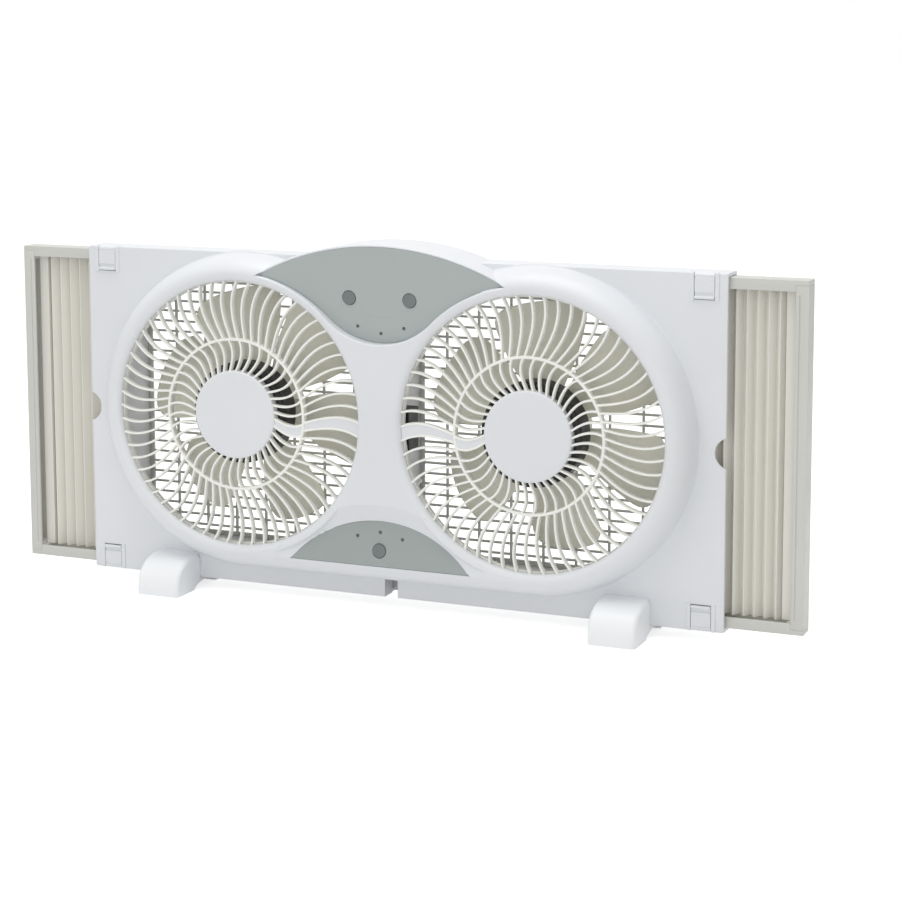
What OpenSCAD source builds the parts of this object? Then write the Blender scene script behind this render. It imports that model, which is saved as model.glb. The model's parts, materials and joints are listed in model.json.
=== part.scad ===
// Twin window fan on two feet, with pleated filler panels drawn out of both sides.
// Millimetres. X to the viewer's right, Y to the back, Z up from the floor.
// Turned parts and front-view outlines are drawn in "front" coordinates, where
// the height of an extrusion runs forward: h = -Y.

/* [Housing] */
// Width of the flat housing
body_w = 600; // [590:1:610]
// Height of the flat housing
body_h = 298; // [294:1:304]
// Depth of the flat housing
body_d = 27; // [26:0.5:30]
// Wall of the moulded shells
wall = 2.5; // [2:0.1:3]
// Gap under the housing when it stands on its feet
foot_clear = 10; // [8:0.5:14]
// How far the raised front stands ahead of the flat plate
raise = 27; // [25:0.5:30]
// How far the rear box stands behind the flat housing
rear_d = 33; // [30:0.5:38]
// Height of the hump above the middle of the housing
hump_rise = 163.5; // [161:0.5:166]
// Radius of the hump's arc
hump_r = 243; // [236:1:250]

/* [Air openings] */
// Distance between the two fan centres
ring_spacing = 275; // [272:0.5:278]
// Height of the fan centres above the middle of the housing
ring_lift = 8.5; // [7:0.5:9]
// Inner radius of each air tube
tube_r = 117.5; // [115:0.5:118]
// Radius of the rim's crest
crest_r = 124; // [123:0.5:125]
// Radius where the raised body meets the plate
skirt_r = 140; // [139:0.5:140.5]

/* [Front grille] */
// Radius of the centre cap
cap_r = 39; // [37:0.5:41]
// Middle radius of the ring that splits the ribs
mid_r = 66.5; // [64:0.5:69]
// Ribs outside the middle ring
outer_ribs = 60; // [48:1:66]
// Ribs inside the middle ring
inner_ribs = 40; // [32:1:44]
// Thickness of a rib
rib_t = 1.9; // [1.6:0.1:2.2]
// Depth of a rib from front to back
rib_d = 5.5; // [4.5:0.1:6.5]
// How far the cap stands ahead of the rim
cap_proud = 2.5; // [1:0.5:4]

/* [Rear grille] */
// Spacing of the level bars
louvre_pitch = 9.5; // [9:0.1:11]
// Spacing of the upright bars
upright_pitch = 30.25; // [28:0.25:32]
// Thickness of the bars
louvre_t = 2; // [1.6:0.1:2.4]

/* [Fans] */
// Radius over the blade tips
blade_r = 107; // [100:0.5:109]
// Blades on each fan
blade_count = 6; // [4:1:6]
// Tilt of the blades to the plane of the fan
blade_pitch = 20; // [16:0.5:22]
// Camber radius of the blades
camber_r = 110; // [100:1:140]
// Blade thickness
blade_t = 1.8; // [1.4:0.1:2.4]
// Radius of the fan's hub
hub_r = 33; // [30:0.5:36]
// Radius of the motor shaft
shaft_r = 4; // [3.5:0.1:4.5]
// Radial play of the shaft in its bushes
shaft_play = 0.05; // [0.02:0.01:0.1]
// Radius of the motor
motor_r = 45; // [42:0.5:48]

/* [Filler panels] */
// How far the left panel stands out of the housing
left_out = 73; // [60:0.5:76]
// How far the right panel stands out of the housing
right_out = 65.5; // [60:0.5:76]
// Depth of the panel's frame, front to back
rail_d = 18; // [16:0.5:20]
// Height of each rail
rail_h = 9.5; // [8:0.5:11]
// Width of the end stile
stile_w = 11; // [9:0.5:13]
// Pleats in each bellows
pleats = 8; // [6:1:9]
// Sliding clearance of the frame in the housing
slide_gap = 0.4; // [0.3:0.05:0.6]

/* [Controls] */
// Radius of the push buttons
button_r = 7; // [6:0.1:8]
// Clearance round a button
button_gap = 0.3; // [0.3:0.05:0.5]
// Button travel
button_travel = 1.5; // [1:0.1:2]

/* [Latches and feet] */
// Width of a corner latch
latch_w = 17; // [15:0.5:19]
// Distance of a latch's middle from the housing's side edge
latch_in = 19.5; // [18:0.5:24]
// Width of a foot
foot_w = 37; // [34:0.5:42]
// Distance of each foot from the housing's side edge
foot_in = 86.5; // [78:0.5:92]
// Length of a foot, front to back
foot_l = 118; // [110:1:124]
// Height of a foot
foot_h = 38; // [34:0.5:42]

/* [Hidden] */
$fn = 96;

WHITE = [0.88, 0.89, 0.91];
CREAM = [0.86, 0.84, 0.78];
GREY = [0.63, 0.67, 0.66];
DARK_GREY = [0.46, 0.49, 0.49];
BLADE = [0.72, 0.70, 0.63];
BLACK = [0.06, 0.06, 0.07];
STEEL = [0.70, 0.71, 0.73];
BRONZE = [0.72, 0.52, 0.28];
BOARD = [0.10, 0.38, 0.20];

e = 0.01;
top_z = foot_clear + body_h;
mid_z = foot_clear + body_h / 2;
ring_x = ring_spacing / 2;
ring_z = mid_z + ring_lift;
plate_h = 8;                        // the plate's front face; h = -Y
face_h = plate_h + raise;           // the raised front
back_h = plate_h - body_d;          // the flat housing's back
rear_h = back_h - rear_d;           // the rear grille's outer face
cap_h = face_h + cap_proud;
foot_x = body_w / 2 - foot_in;
tube_out = tube_r + wall;
rim_out = crest_r + 2;              // outside of the rim where it bounds a panel
hump_z = mid_z + hump_rise - hump_r; // centre of the hump's arc
hump_half = sqrt(pow(hump_r, 2) - pow(top_z - hump_z, 2));
waist_z0 = ring_z - crest_r;        // lower edge of the raised middle
pocket_x = body_w / 2 - 28;         // outer face of the wall the bellows hang on
rail_z1 = top_z - 3 - slide_gap;    // top of the upper rail
rail_z0 = foot_clear + 3 + slide_gap;
rail_front = plate_h - wall - 2.5;  // front face of rails and stiles, as h

// ---- frames ---------------------------------------------------------------
// Draws children in front coordinates: local x, y, z are X, Z and -Y.
module front() { rotate([90, 0, 0]) children(); }
// The same, about the centre of the left (-1) or right (1) fan.
module at_ring(side) { translate([side * ring_x, 0, ring_z]) front() children(); }
// Things drawn for the left fan; the right fan is its mirror image.
module handed(side) { if (side < 0) children(); else mirror([1, 0, 0]) children(); }

function arc(cx, cy, rx, ry, a0, a1, n) =
  [for (i = [0:n]) let (a = a0 + (a1 - a0) * i / n) [cx + rx * cos(a), cy + ry * sin(a)]];

// ---- outlines in the front view ---------------------------------------------
// The raised middle between the two rims, under the hump's arc.
module waist_2d(r_top = hump_r) {
  difference() {
    intersection() {
      translate([0, hump_z]) circle(r_top, $fn = 240);
      translate([-ring_x, waist_z0]) square([2 * ring_x, top_z + 30 - waist_z0]);
    }
    for (s = [-1, 1]) translate([s * ring_x, ring_z]) circle(rim_out, $fn = 180);
  }
}

// Grey upper panel: the hump's arc, both rims, and a rounded hollow below.
u_r = 68;
u_z = mid_z + 76;
module top_panel_2d(r_gap) {
  difference() {
    intersection() {
      translate([0, hump_z]) circle(hump_r - 1.4 - r_gap, $fn = 240);
      union() {
        translate([0, u_z + u_r]) circle(u_r - r_gap, $fn = 120);
        translate([-ring_x, u_z + 21]) square([2 * ring_x, 120]);
      }
    }
    for (s = [-1, 1]) translate([s * ring_x, ring_z]) circle(rim_out + r_gap, $fn = 180);
  }
}

// Grey lower panel: a low hill on a level base.
hill_r = 110;
hill_z = mid_z - 76.5;
hill_foot = hill_r + 15.5;           // where the slope round the panel starts
module hill_2d(r, z0 = waist_z0 + 0.2) {
  intersection() {
    translate([0, hill_z - hill_r]) circle(r, $fn = 180);
    translate([-ring_x, z0]) square([2 * ring_x, 80]);
  }
}

// ---- front bezel --------------------------------------------------------------
// Half of an ellipse carries the raised body's side down to the plate.
function side_curve(r0, h0, rr, hh, a0, a1, n) = arc(r0, h0, rr, hh, a0, a1, n);
flare = skirt_r - crest_r;
sink = 1.2;                         // how deep the curve's foot stands in the plate

// Shell of the side curve, outer face first, from the plate up and back down.
function skirt_pts() = concat(
  side_curve(crest_r, plate_h - sink, flare, raise + sink, 0, 90, 9),
  side_curve(crest_r, plate_h - sink, flare - wall, raise + sink - wall, 90, 0, 9));

// Section of bell mouth and air tube, turned about each fan's axis.
module mouth_section() {
  polygon(concat([[crest_r, face_h - wall]],
    [for (a = [0:22.5:90])
      [crest_r - (crest_r - tube_r) * sin(a), face_h - 6 + 6 * cos(a)]],
    [[tube_r, back_h], [tube_out, back_h], [tube_out, face_h - 8]]));
}

panel_lean = 6.5;                   // both panels lean back towards the waist
hill_low_h = face_h - 6.4;          // the lower panel's upper edge
// Half-space in front of the upper panel's plane, sunk by "d".
module before_top_panel(d) {
  translate([0, -face_h + 0.4 + d, mid_z + hump_rise]) rotate([panel_lean, 0, 0])
    translate([-150, -60, -150]) cube([300, 60, 200]);
}
module before_bottom_panel(d) {
  translate([0, -face_h + 0.6 + d, waist_z0]) rotate([-panel_lean - 2, 0, 0])
    translate([-150, -60, -50]) cube([300, 60, 150]);
}

skirt_a0 = 72;                      // where the left fan's skirt leaves the hump
module raised_body() {
  for (s = [-1, 1]) at_ring(s) rotate_extrude($fn = 180) mouth_section();
  // side curve round the outer half of each fan, cut where the hump takes over
  difference() {
    for (s = [-1, 1]) handed(s) at_ring(-1) rotate(skirt_a0)
      rotate_extrude(angle = 270 - skirt_a0, $fn = 180) polygon(skirt_pts());
    front() translate([0, 0, plate_h - wall - 1]) linear_extrude(raise + wall + 2)
      intersection() {
        translate([0, hump_z]) circle(hump_r - wall / 2, $fn = 240);
        translate([-ring_x, ring_z]) square([2 * ring_x, 200]);
      }
  }
  // rims' outer walls in the recesses
  front() translate([0, 0, plate_h - wall]) linear_extrude(raise + wall - 0.05)
    intersection() {
      for (s = [-1, 1]) translate([s * ring_x, ring_z]) difference() {
        circle(rim_out, $fn = 180);
        circle(crest_r, $fn = 180);
      }
      translate([0, hump_z]) circle(hump_r - wall, $fn = 240);
      translate([-ring_x, waist_z0 - 0.5]) square([2 * ring_x, 300]);
    }
  // face of the waist
  front() translate([0, 0, face_h - wall + 0.6]) linear_extrude(wall - 0.55) difference() {
    intersection() {
      translate([0, hump_z]) circle(hump_r, $fn = 240);
      translate([-ring_x, waist_z0 - 0.8]) square([2 * ring_x, u_z + 21.8 - waist_z0]);
    }
    for (s = [-1, 1]) translate([s * ring_x, ring_z]) circle(crest_r - 0.7, $fn = 180);
    translate([0, u_z + u_r]) circle(u_r, $fn = 120);
    hill_2d(hill_foot, waist_z0 - 1);
  }
  // ledge below the upper panel
  front() translate([0, 0, face_h - 14]) linear_extrude(15 - wall) intersection() {
    waist_2d();
    difference() {
      translate([0, u_z + u_r]) circle(u_r + wall, $fn = 120);
      translate([0, u_z + u_r]) circle(u_r, $fn = 120);
      translate([-ring_x, u_z + 21]) square([2 * ring_x, 120]);
    }
  }
  // slope from the waist's face down to the lower panel's edge
  intersection() {
    front() linear_extrude(60) waist_2d();
    union() {
      translate([0, 0, hill_z - hill_r]) front() difference() {
        translate([0, 0, hill_low_h - 2]) cylinder(h = face_h - hill_low_h + 2,
          r = hill_foot + wall, $fn = 180);
        translate([0, 0, hill_low_h]) cylinder(h = face_h - hill_low_h + e,
          r1 = hill_r + 0.2, r2 = hill_foot, $fn = 180);
        translate([0, 0, hill_low_h - 3]) cylinder(h = 4, r = hill_r + 0.2, $fn = 180);
      }
      intersection() {
        front() linear_extrude(60) difference() {
          hill_2d(hill_foot + 1);
          hill_2d(hill_r + 0.2);
        }
        bottom_slab(0, wall);
      }
    }
  }
  // straight lower side between the two fans
  translate([-ring_x, 0, 0]) rotate([90, 0, 90]) linear_extrude(2 * ring_x)
    polygon([for (p = skirt_pts()) [-p[1], ring_z - p[0]]]);
  // hump: a roof behind the upper panel
  difference() {
    front() translate([0, 0, plate_h - wall + 0.4]) linear_extrude(raise + wall - 0.4)
      hump_roof_2d(122);
    before_top_panel(2.1);
  }
  front() translate([0, 0, back_h + wall]) linear_extrude(body_d - wall)
    hump_roof_2d(hump_half + 6);
}

module hump_roof_2d(half) {
  intersection() {
    translate([0, hump_z]) difference() {
      circle(hump_r, $fn = 240);
      circle(hump_r - wall, $fn = 240);
    }
    translate([-half, mid_z + 80]) square([2 * half, 100]);
  }
}

notch_w = 12;
notch_h = 16;
notch_d = 14;
grip_r = 13.5;
module front_bezel() {
  color(WHITE) difference() {
    union() {
      // plate, open behind the raised body
      front() translate([0, 0, plate_h - wall]) linear_extrude(wall) difference() {
        union() {
          translate([-body_w / 2, foot_clear]) square([body_w, body_h]);
          intersection() {
            translate([0, hump_z]) circle(hump_r, $fn = 240);
            translate([-hump_half - 9, top_z - 3]) square([2 * hump_half + 18, 40]);
          }
        }
        for (s = [-1, 1]) translate([s * ring_x, ring_z]) circle(skirt_r - 1.5, $fn = 180);
        waist_2d(hump_r - 1.2);
        translate([-ring_x, ring_z - skirt_r + 1.5]) square([2 * ring_x, skirt_r - 20]);
      }
      raised_body();
      // top and bottom walls, pocket walls, corner blocks for the latch pins
      for (s = [-1, 1]) {
        translate([s > 0 ? hump_half - 3 : -body_w / 2, -plate_h, top_z - 3])
          cube([body_w / 2 - hump_half + 3, body_d - wall, 3]);
        translate([s * (pocket_x - wall / 2) - wall / 2, -plate_h + e,
                   foot_clear + 3 + rail_h + 1.2])
          cube([wall, body_d - wall - e, body_h - 6 - 2 * rail_h - 2.4]);
      }
      translate([-body_w / 2, -plate_h, foot_clear]) cube([body_w, body_d - wall, 3]);
      // liner of the notch in the lower edge
      translate([-notch_w / 2 - 1.5, -plate_h, foot_clear]) cube([notch_w + 3, 16, notch_h + 1.5]);
      // raised frames beside the latches
      for (s = [-1, 1], t = [-1, 1])
        translate([s * (body_w / 2 - latch_in), 0, mid_z]) latch_frame(t);
    }
    // notch in the middle of the lower edge
    translate([-notch_w / 2, -plate_h - 1, foot_clear - 1]) cube([notch_w, 1 + notch_d, notch_h + 1]);
    // finger grips halfway up both side edges
    for (s = [-1, 1]) translate([s * (body_w / 2 + 4), 0, mid_z + 1]) front()
      translate([0, 0, plate_h - wall - 1]) cylinder(h = wall + 2, r = grip_r);
    // latch pockets
    for (s = [-1, 1], t = [-1, 1])
      translate([s * (body_w / 2 - latch_in), 0, mid_z]) latch_pocket(t);
  }
  // screw posts
  color(WHITE) for (p = screw_places) translate([p[0], 0, p[1]]) front() difference() {
    post_h = (abs(p[0]) < 30 ? face_h + 0.8 : plate_h) - back_h - 2 * wall + e;
    translate([0, 0, back_h + wall]) cylinder(h = post_h, r = 4, $fn = 24);
    translate([0, 0, back_h + wall - e]) cylinder(h = 8, r = 1.5, $fn = 24);
  }
}

screw_places = [[-262, 40], [-262, 278], [262, 40], [262, 278], [-60, 20], [60, 20],
  [-14, 110], [14, 110], [-14, 225], [14, 225]];

// ---- rear housing --------------------------------------------------------------
box_x = 276;                        // outside of the rear box, from the middle
box_z0 = foot_clear + 23;
box_z1 = top_z - 13;
bar_d = 3;
module rear_housing() {
  color(WHITE) difference() {
    union() {
      front() translate([0, 0, back_h]) linear_extrude(wall) difference() {
        union() {
          translate([-body_w / 2, foot_clear]) square([body_w, body_h]);
          intersection() {
            translate([0, hump_z]) circle(hump_r, $fn = 240);
            translate([-hump_half - 9, top_z - 3]) square([2 * hump_half + 18, 40]);
          }
        }
        for (s = [-1, 1]) translate([s * ring_x, ring_z]) circle(tube_out + 0.3, $fn = 180);
      }
      // box that carries the rear grilles, with a spine between them
      front() translate([0, 0, rear_h]) linear_extrude(rear_d) {
        difference() {
          translate([-box_x, box_z0]) square([2 * box_x, box_z1 - box_z0]);
          translate([-box_x + wall, box_z0 + wall])
            square([2 * (box_x - wall), box_z1 - box_z0 - 2 * wall]);
        }
        translate([-3, box_z0]) square([6, box_z1 - box_z0]);
      }
    }
    for (p = screw_places) translate([p[0], 0, p[1]]) front()
      translate([0, 0, rear_h - 1]) cylinder(h = rear_d + wall + 2, r = 1.6, $fn = 24);
    gland_hole();
  }
}
gland_x = 150;
gland_z = foot_clear + 11.5;
module gland_hole() {
  translate([gland_x, 0, gland_z]) front()
    translate([0, 0, back_h - 1]) cylinder(h = wall + 2, r = 5);
}

module rear_grille(side) {
  x0 = 3.2;
  x1 = box_x - wall - 0.2;
  z0 = box_z0 + wall + 0.2;
  z1 = box_z1 - wall - 0.2;
  z_first = ring_z - louvre_pitch * floor((ring_z - z0 - 3) / louvre_pitch);
  handed(side) color(CREAM) front() {
    translate([0, 0, rear_h]) linear_extrude(bar_d) union() {
      difference() {
        translate([-x1, z0]) square([x1 - x0, z1 - z0]);
        translate([-x1 + 4, z0 + 4]) square([x1 - x0 - 8, z1 - z0 - 8]);
      }
      for (z = [z_first:louvre_pitch:z1 - 3])
        translate([-x1 + 3, z - louvre_t / 2]) square([x1 - x0 - 6, louvre_t]);
    }
    translate([0, 0, rear_h + bar_d - e]) linear_extrude(2.5)
      for (x = [upright_pitch:upright_pitch:x1 - 4])
        translate([-x - louvre_t / 2, z0 + 2]) square([louvre_t, z1 - z0 - 4]);
  }
}

// ---- front grille ----------------------------------------------------------------
// A rib's angle, in degrees, against its radius: one bow out, one bow back.
bow_outer = 2;
bow_inner = 1.9;
function outer_turn(r) = bow_outer - 0.00527 * pow(r - 97, 2);
function inner_turn(r) = bow_inner + 0.0211 * pow(r - 54, 2);
function turn(r, inside) = inside ? inner_turn(r) : outer_turn(r);
function polar(r, a) = [r * cos(a), r * sin(a)];
function side_pts(r0, r1, n, inside, a, off) =
  [for (i = [0:n]) let (r = r0 + (r1 - r0) * i / n)
    polar(r, a + turn(r, inside) + off / r * 180 / PI)];
function back(v) = [for (i = [len(v) - 1:-1:0]) v[i]];

// One rib, or the web of the wire channel when a1 > a0.
module rib_2d(r0, r1, n, inside, a0, a1) {
  polygon(concat(side_pts(r0, r1, n, inside, a0, -rib_t / 2),
                 back(side_pts(r0, r1, n, inside, a1, rib_t / 2))));
}

inner_pitch = 360 / inner_ribs;
outer_pitch = 360 / outer_ribs;
// The dome's front, from the tube's wall to the cap.
function dome_h(r) = face_h - 4.5 + 4.6 * (1 - pow((r - cap_r) / (tube_r - cap_r), 2));
dome_rs = [tube_r - 0.5, 100, 84, mid_r, 52, cap_r - 1.5];
module dome_section(d, r_list) {
  polygon(concat([for (r = r_list) [r, dome_h(r)]],
                 [for (r = back(r_list)) [r, dome_h(r) - d]]));
}

module left_grille_body() {
  // ribs: a flat pattern cut by a domed shell
  intersection() {
    translate([0, 0, face_h - 14]) linear_extrude(20) {
      for (k = [0:outer_ribs - 1])
        rib_2d(mid_r - 0.5, tube_r - 0.8, 5, false, k * outer_pitch, k * outer_pitch);
      for (k = [0:inner_ribs - 1])
        rib_2d(cap_r - 1.2, mid_r + 0.5, 4, true, k * inner_pitch, k * inner_pitch);
    }
    rotate_extrude($fn = 120) dome_section(rib_d, dome_rs);
  }
  // middle ring, notched where the motor's lead passes
  difference() {
    rotate_extrude($fn = 120)
      translate([mid_r - 1.3, dome_h(mid_r) - rib_d - 1]) square([2.6, rib_d + 1.2]);
    rotate(-6.6) translate([mid_r - 3, -2.2, dome_h(mid_r) - rib_d - 2])
      cube([6, 4.4, rib_d + 2 - web_d + 0.9]);
  }
  // seat on the air tube
  rotate_extrude($fn = 120) translate([tube_r - 1.8, dome_h(tube_r) - rib_d - 2])
    square([1.8, rib_d + 2.4]);
  // cap with its wall
  rotate_extrude($fn = 96) polygon([[0, cap_h], [cap_r * 0.6, cap_h - 0.5],
    [cap_r - 1.5, cap_h - 1], [cap_r, cap_h - 2.2], [cap_r, face_h - 7],
    [cap_r - wall, face_h - 7], [cap_r - wall, cap_h - 3.8], [cap_r * 0.6, cap_h - 3],
    [0, cap_h - wall]]);
  // three posts that hold the motor
  for (a = post_angles) rotate(a) translate([post_r, 0, motor_front_h]) difference() {
    cylinder(h = cap_h - 2.2 - motor_front_h, r = 4, $fn = 24);
    translate([0, 0, -e]) cylinder(h = 6, r = 1.25, $fn = 24);
  }
  // wire channel: one rib gap closed at the front
  intersection() {
    translate([0, 0, face_h - 14]) linear_extrude(20) {
      rib_2d(mid_r - 0.5, tube_r - 0.8, 5, false, -outer_pitch, 0);
      rib_2d(cap_r - 1.2, mid_r + 0.5, 4, true, -2 * inner_pitch, -inner_pitch);
    }
    rotate_extrude($fn = 120)
      translate([0, 0.5]) dome_section(web_d, dome_rs);
  }
}
web_d = 2.2;                        // the channel's front web
post_r = 26;
post_angles = [30, 150, 270];
motor_front_h = face_h - 7;

module front_grille(side) {
  color(CREAM) handed(side) at_ring(-1) left_grille_body();
}

// ---- drive -----------------------------------------------------------------------
motor_len = 29;
module motor(side) {
  color(BLACK) at_ring(side) translate([0, 0, motor_front_h - motor_len]) difference() {
    rotate_extrude($fn = 96) polygon(concat([[0, 0], [14, 0], [14, 3], [motor_r - 4, 3]],
      arc(motor_r - 4, 7, 4, 4, -90, 0, 4), arc(motor_r - 3, motor_len - 3, 3, 3, 0, 90, 4),
      [[0, motor_len]]));
    translate([0, 0, -1]) cylinder(h = motor_len - 2, r = shaft_r + 0.5);
    for (z = [-e, motor_len - 11]) translate([0, 0, z]) cylinder(h = 8 + e, r = 7);
    for (a = post_angles) rotate(a) translate([post_r, 0, -1])
      cylinder(h = motor_len + 2, r = 1.6, $fn = 24);
  }
}
module motor_bushes(side) {
  color(BRONZE) at_ring(side) for (z = [0, motor_len - 11])
    translate([0, 0, motor_front_h - motor_len + z]) difference() {
      cylinder(h = 8, r = 7);
      translate([0, 0, -1]) cylinder(h = 10, r = shaft_r + shaft_play);
    }
}
module motor_screws() {
  color(STEEL) for (s = [-1, 1]) at_ring(s) for (a = post_angles) rotate(a)
    translate([post_r, 0, 0]) {
      translate([0, 0, motor_front_h - motor_len + 3 - 2])
        cylinder(h = 2, r = 3, $fn = 24);
      translate([0, 0, motor_front_h - motor_len + 3 - e])
        cylinder(h = motor_len + 2, r = 1.25, $fn = 24);
    }
}
hub_front = -6;
hub_back = -34;
blade_mid = -19;
shaft_front = motor_front_h - 4;
shaft_back = hub_back + 4 - 4.5;
module shaft(side) {
  color(STEEL) at_ring(side) translate([0, 0, shaft_back])
    cylinder(h = shaft_front - shaft_back, r = shaft_r);
}

fan_phase = [48, 37.5];
function paddle() = concat(
  [polar(hub_r - 1.5, -24), polar(60, -25.5), polar(96, -22.5)],
  [for (i = [0:4]) polar(100 + (blade_r - 100) * sin(22.5 * i), -21.5 + 1.75 * i)],
  [for (a = [-9.7:4.85:9.7]) polar(blade_r, a)],
  [for (i = [4:-1:0]) polar(100 + (blade_r - 100) * sin(22.5 * i), 21.5 - 1.75 * i)],
  [polar(96, 22.5), polar(60, 25.5), polar(hub_r - 1.5, 24)]);

// A paddle cut out of a cambered sheet that is tilted about the blade's own radius.
module blade() {
  intersection() {
    translate([0, 0, blade_mid - 26]) linear_extrude(52) polygon(paddle());
    translate([0, 0, blade_mid]) rotate([blade_pitch, 0, 0])
      translate([0, 0, -camber_r]) rotate([0, 90, 0]) difference() {
        cylinder(h = blade_r + 2, r = camber_r, $fn = 240);
        translate([0, 0, -1]) cylinder(h = blade_r + 4, r = camber_r - blade_t, $fn = 240);
        translate([0, -camber_r - 1, -1]) cube([camber_r + 2, 2 * camber_r + 2, blade_r + 4]);
      }
  }
}
module fan(side) {
  color(BLADE) at_ring(side) rotate(fan_phase[side < 0 ? 0 : 1]) {
    for (k = [0:blade_count - 1]) rotate(k * 360 / blade_count) blade();
    difference() {
      rotate_extrude() polygon([[0, hub_front], [hub_r - 3, hub_front], [hub_r, hub_front - 3],
        [hub_r, hub_back], [hub_r - wall, hub_back], [hub_r - wall, hub_front - 4],
        [9, hub_front - 4], [9, hub_back + 4], [0, hub_back + 4]]);
      translate([0, 0, hub_back - 1]) cylinder(h = 40, r = shaft_r);
    }
  }
}
module blade_nut(side) {
  color(DARK_GREY) at_ring(side) translate([0, 0, hub_back + 4 - 6]) difference() {
    rotate_extrude() polygon([[0, 0], [8, 0], [10, 2], [10, 6], [0, 6]]);
    translate([0, 0, 1.5]) cylinder(h = 10, r = shaft_r);
  }
}

// Flat cable laid against the back of the grille's wire channel.
lead_t = 1.6;
module motor_lead(side) {
  color(BLACK) handed(side) at_ring(-1) intersection() {
    translate([0, 0, face_h - 14]) linear_extrude(20) {
      rib_2d(mid_r - 0.3, tube_r - 2, 5, false, -4, -3.2);
      rib_2d(cap_r + 0.2, mid_r + 0.3, 4, true, -12.1, -12.5);
    }
    rotate_extrude($fn = 120) translate([0, 0.5 - web_d])
      dome_section(lead_t, dome_rs);
  }
}

// ---- controls ---------------------------------------------------------------------
button_z = mid_z + 116.5;
low_button_z = mid_z - 102;
button_x = 28.2;
lamps_top = [[-21.6, mid_z + 92], [0, mid_z + 86.5], [21.6, mid_z + 92]];
lamps_low = [[-21.2, mid_z - 90.5], [0, mid_z - 86], [21.2, mid_z - 90.5]];
lamp_r = 1.8;
module control_holes(list, r) {
  for (p = list) translate([p[0], 0, p[1]]) front() translate([0, 0, 0])
    cylinder(h = 60, r = r, $fn = 48);
}
module top_slab(d0, d1) {
  difference() { before_top_panel(d1); before_top_panel(d0); }
}
module bottom_slab(d0, d1) {
  difference() { before_bottom_panel(d1); before_bottom_panel(d0); }
}
module top_control_panel() {
  color(GREY) difference() {
    intersection() {
      front() linear_extrude(60) top_panel_2d(0.2);
      top_slab(0, 2.1);
    }
    control_holes([[-button_x, button_z], [button_x, button_z]], button_r + button_gap);
    control_holes(lamps_top, lamp_r);
  }
}
module bottom_control_panel() {
  color(GREY) difference() {
    intersection() {
      front() linear_extrude(60) hill_2d(hill_r);
      bottom_slab(0, 2.1);
    }
    control_holes([[0, low_button_z]], button_r + button_gap);
    control_holes(lamps_low, lamp_r);
  }
}
// A button: dished cap proud of its panel, stem down to the switch.
function top_face_h(z) = face_h - 0.4 - (mid_z + hump_rise - z) * tan(panel_lean);
function low_face_h(z) = face_h - 0.6 - (z - waist_z0) * tan(panel_lean + 2);
module button(x, z, fh, stem) {
  color(DARK_GREY) translate([x, 0, z]) front() {
    translate([0, 0, fh - 4]) difference() {
      rotate_extrude($fn = 48) polygon([[0, 0], [button_r, 0], [button_r, 4.8],
        [button_r - 1, 5.6], [0, 5.6]]);
      translate([0, 0, 5.6 + 28.6]) sphere(r = 29, $fn = 96);
    }
    translate([0, 0, fh - stem]) cylinder(h = stem - 4 + e, r = 2.5, $fn = 24);
  }
}
stem_len = 9;
module lenses(list, low) {
  color([0.85, 0.2, 0.15]) for (p = list) translate([p[0], 0, p[1]]) front()
    translate([0, 0, (low ? low_face_h(p[1]) : top_face_h(p[1])) - 5])
      cylinder(h = 5.4, r = lamp_r, $fn = 24);
}
// Board on the panel's back, with one switch under each button and one lamp each.
board_h_top = top_face_h(button_z) - stem_len - 5.5;
board_h_low = low_face_h(low_button_z) - stem_len - 5.5;
module board(z0, z1, w, h, list) {
  color(BOARD) {
    translate([-w / 2, -h, z0]) cube([w, 1.6, z1 - z0]);
    for (p = list) translate([p[0] - 3, -h - 5.5 + button_travel + 0.3, p[1] - 3])
      cube([6, 5.5 - button_travel - 0.3 + e, 6]);
  }
}
module standoffs(list, h0) {
  for (p = list) translate([p[0], 0, p[1]]) front()
    translate([0, 0, h0 - e]) cylinder(h = 30, r = 2.5, $fn = 24);
}
module top_control_board() {
  board(mid_z + 87, mid_z + 130, 70, board_h_top,
        [[-button_x, button_z], [button_x, button_z]]);
  color(BOARD) difference() {
    standoffs([for (x = [-12, 12], z = [104, 126]) [x, mid_z + z]], board_h_top);
    before_top_panel(2.1);
  }
}
module bottom_control_board() {
  board(mid_z - 113, mid_z - 80, 56, board_h_low, [[0, low_button_z]]);
  color(BOARD) difference() {
    standoffs([[-22, mid_z - 106], [22, mid_z - 106]], board_h_low);
    before_bottom_panel(2.1);
  }
}
module run_capacitors() {
  color(BLACK) for (s = [-1, 1]) translate([s * 9 - 7, -4.5, mid_z - 18])
    cube([14, 21, 36]);
}
module cord_gland() {
  color(BLACK) translate([gland_x, 0, gland_z]) front() difference() {
    union() {
      translate([0, 0, back_h - 7]) cylinder(h = 7, r1 = 4.2, r2 = 6.5, $fn = 48);
      translate([0, 0, back_h - e]) cylinder(h = wall + 4, r = 4.95, $fn = 48);
    }
    translate([0, 0, back_h - 8]) cylinder(h = 20, r = 3, $fn = 48);
  }
}
module housing_screws() {
  color(STEEL) for (p = screw_places) translate([p[0], 0, p[1]]) front() {
    translate([0, 0, back_h - 2]) cylinder(h = 2, r = 3, $fn = 24);
    translate([0, 0, back_h - e]) cylinder(h = wall + 7, r = 1.4, $fn = 24);
  }
}

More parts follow.
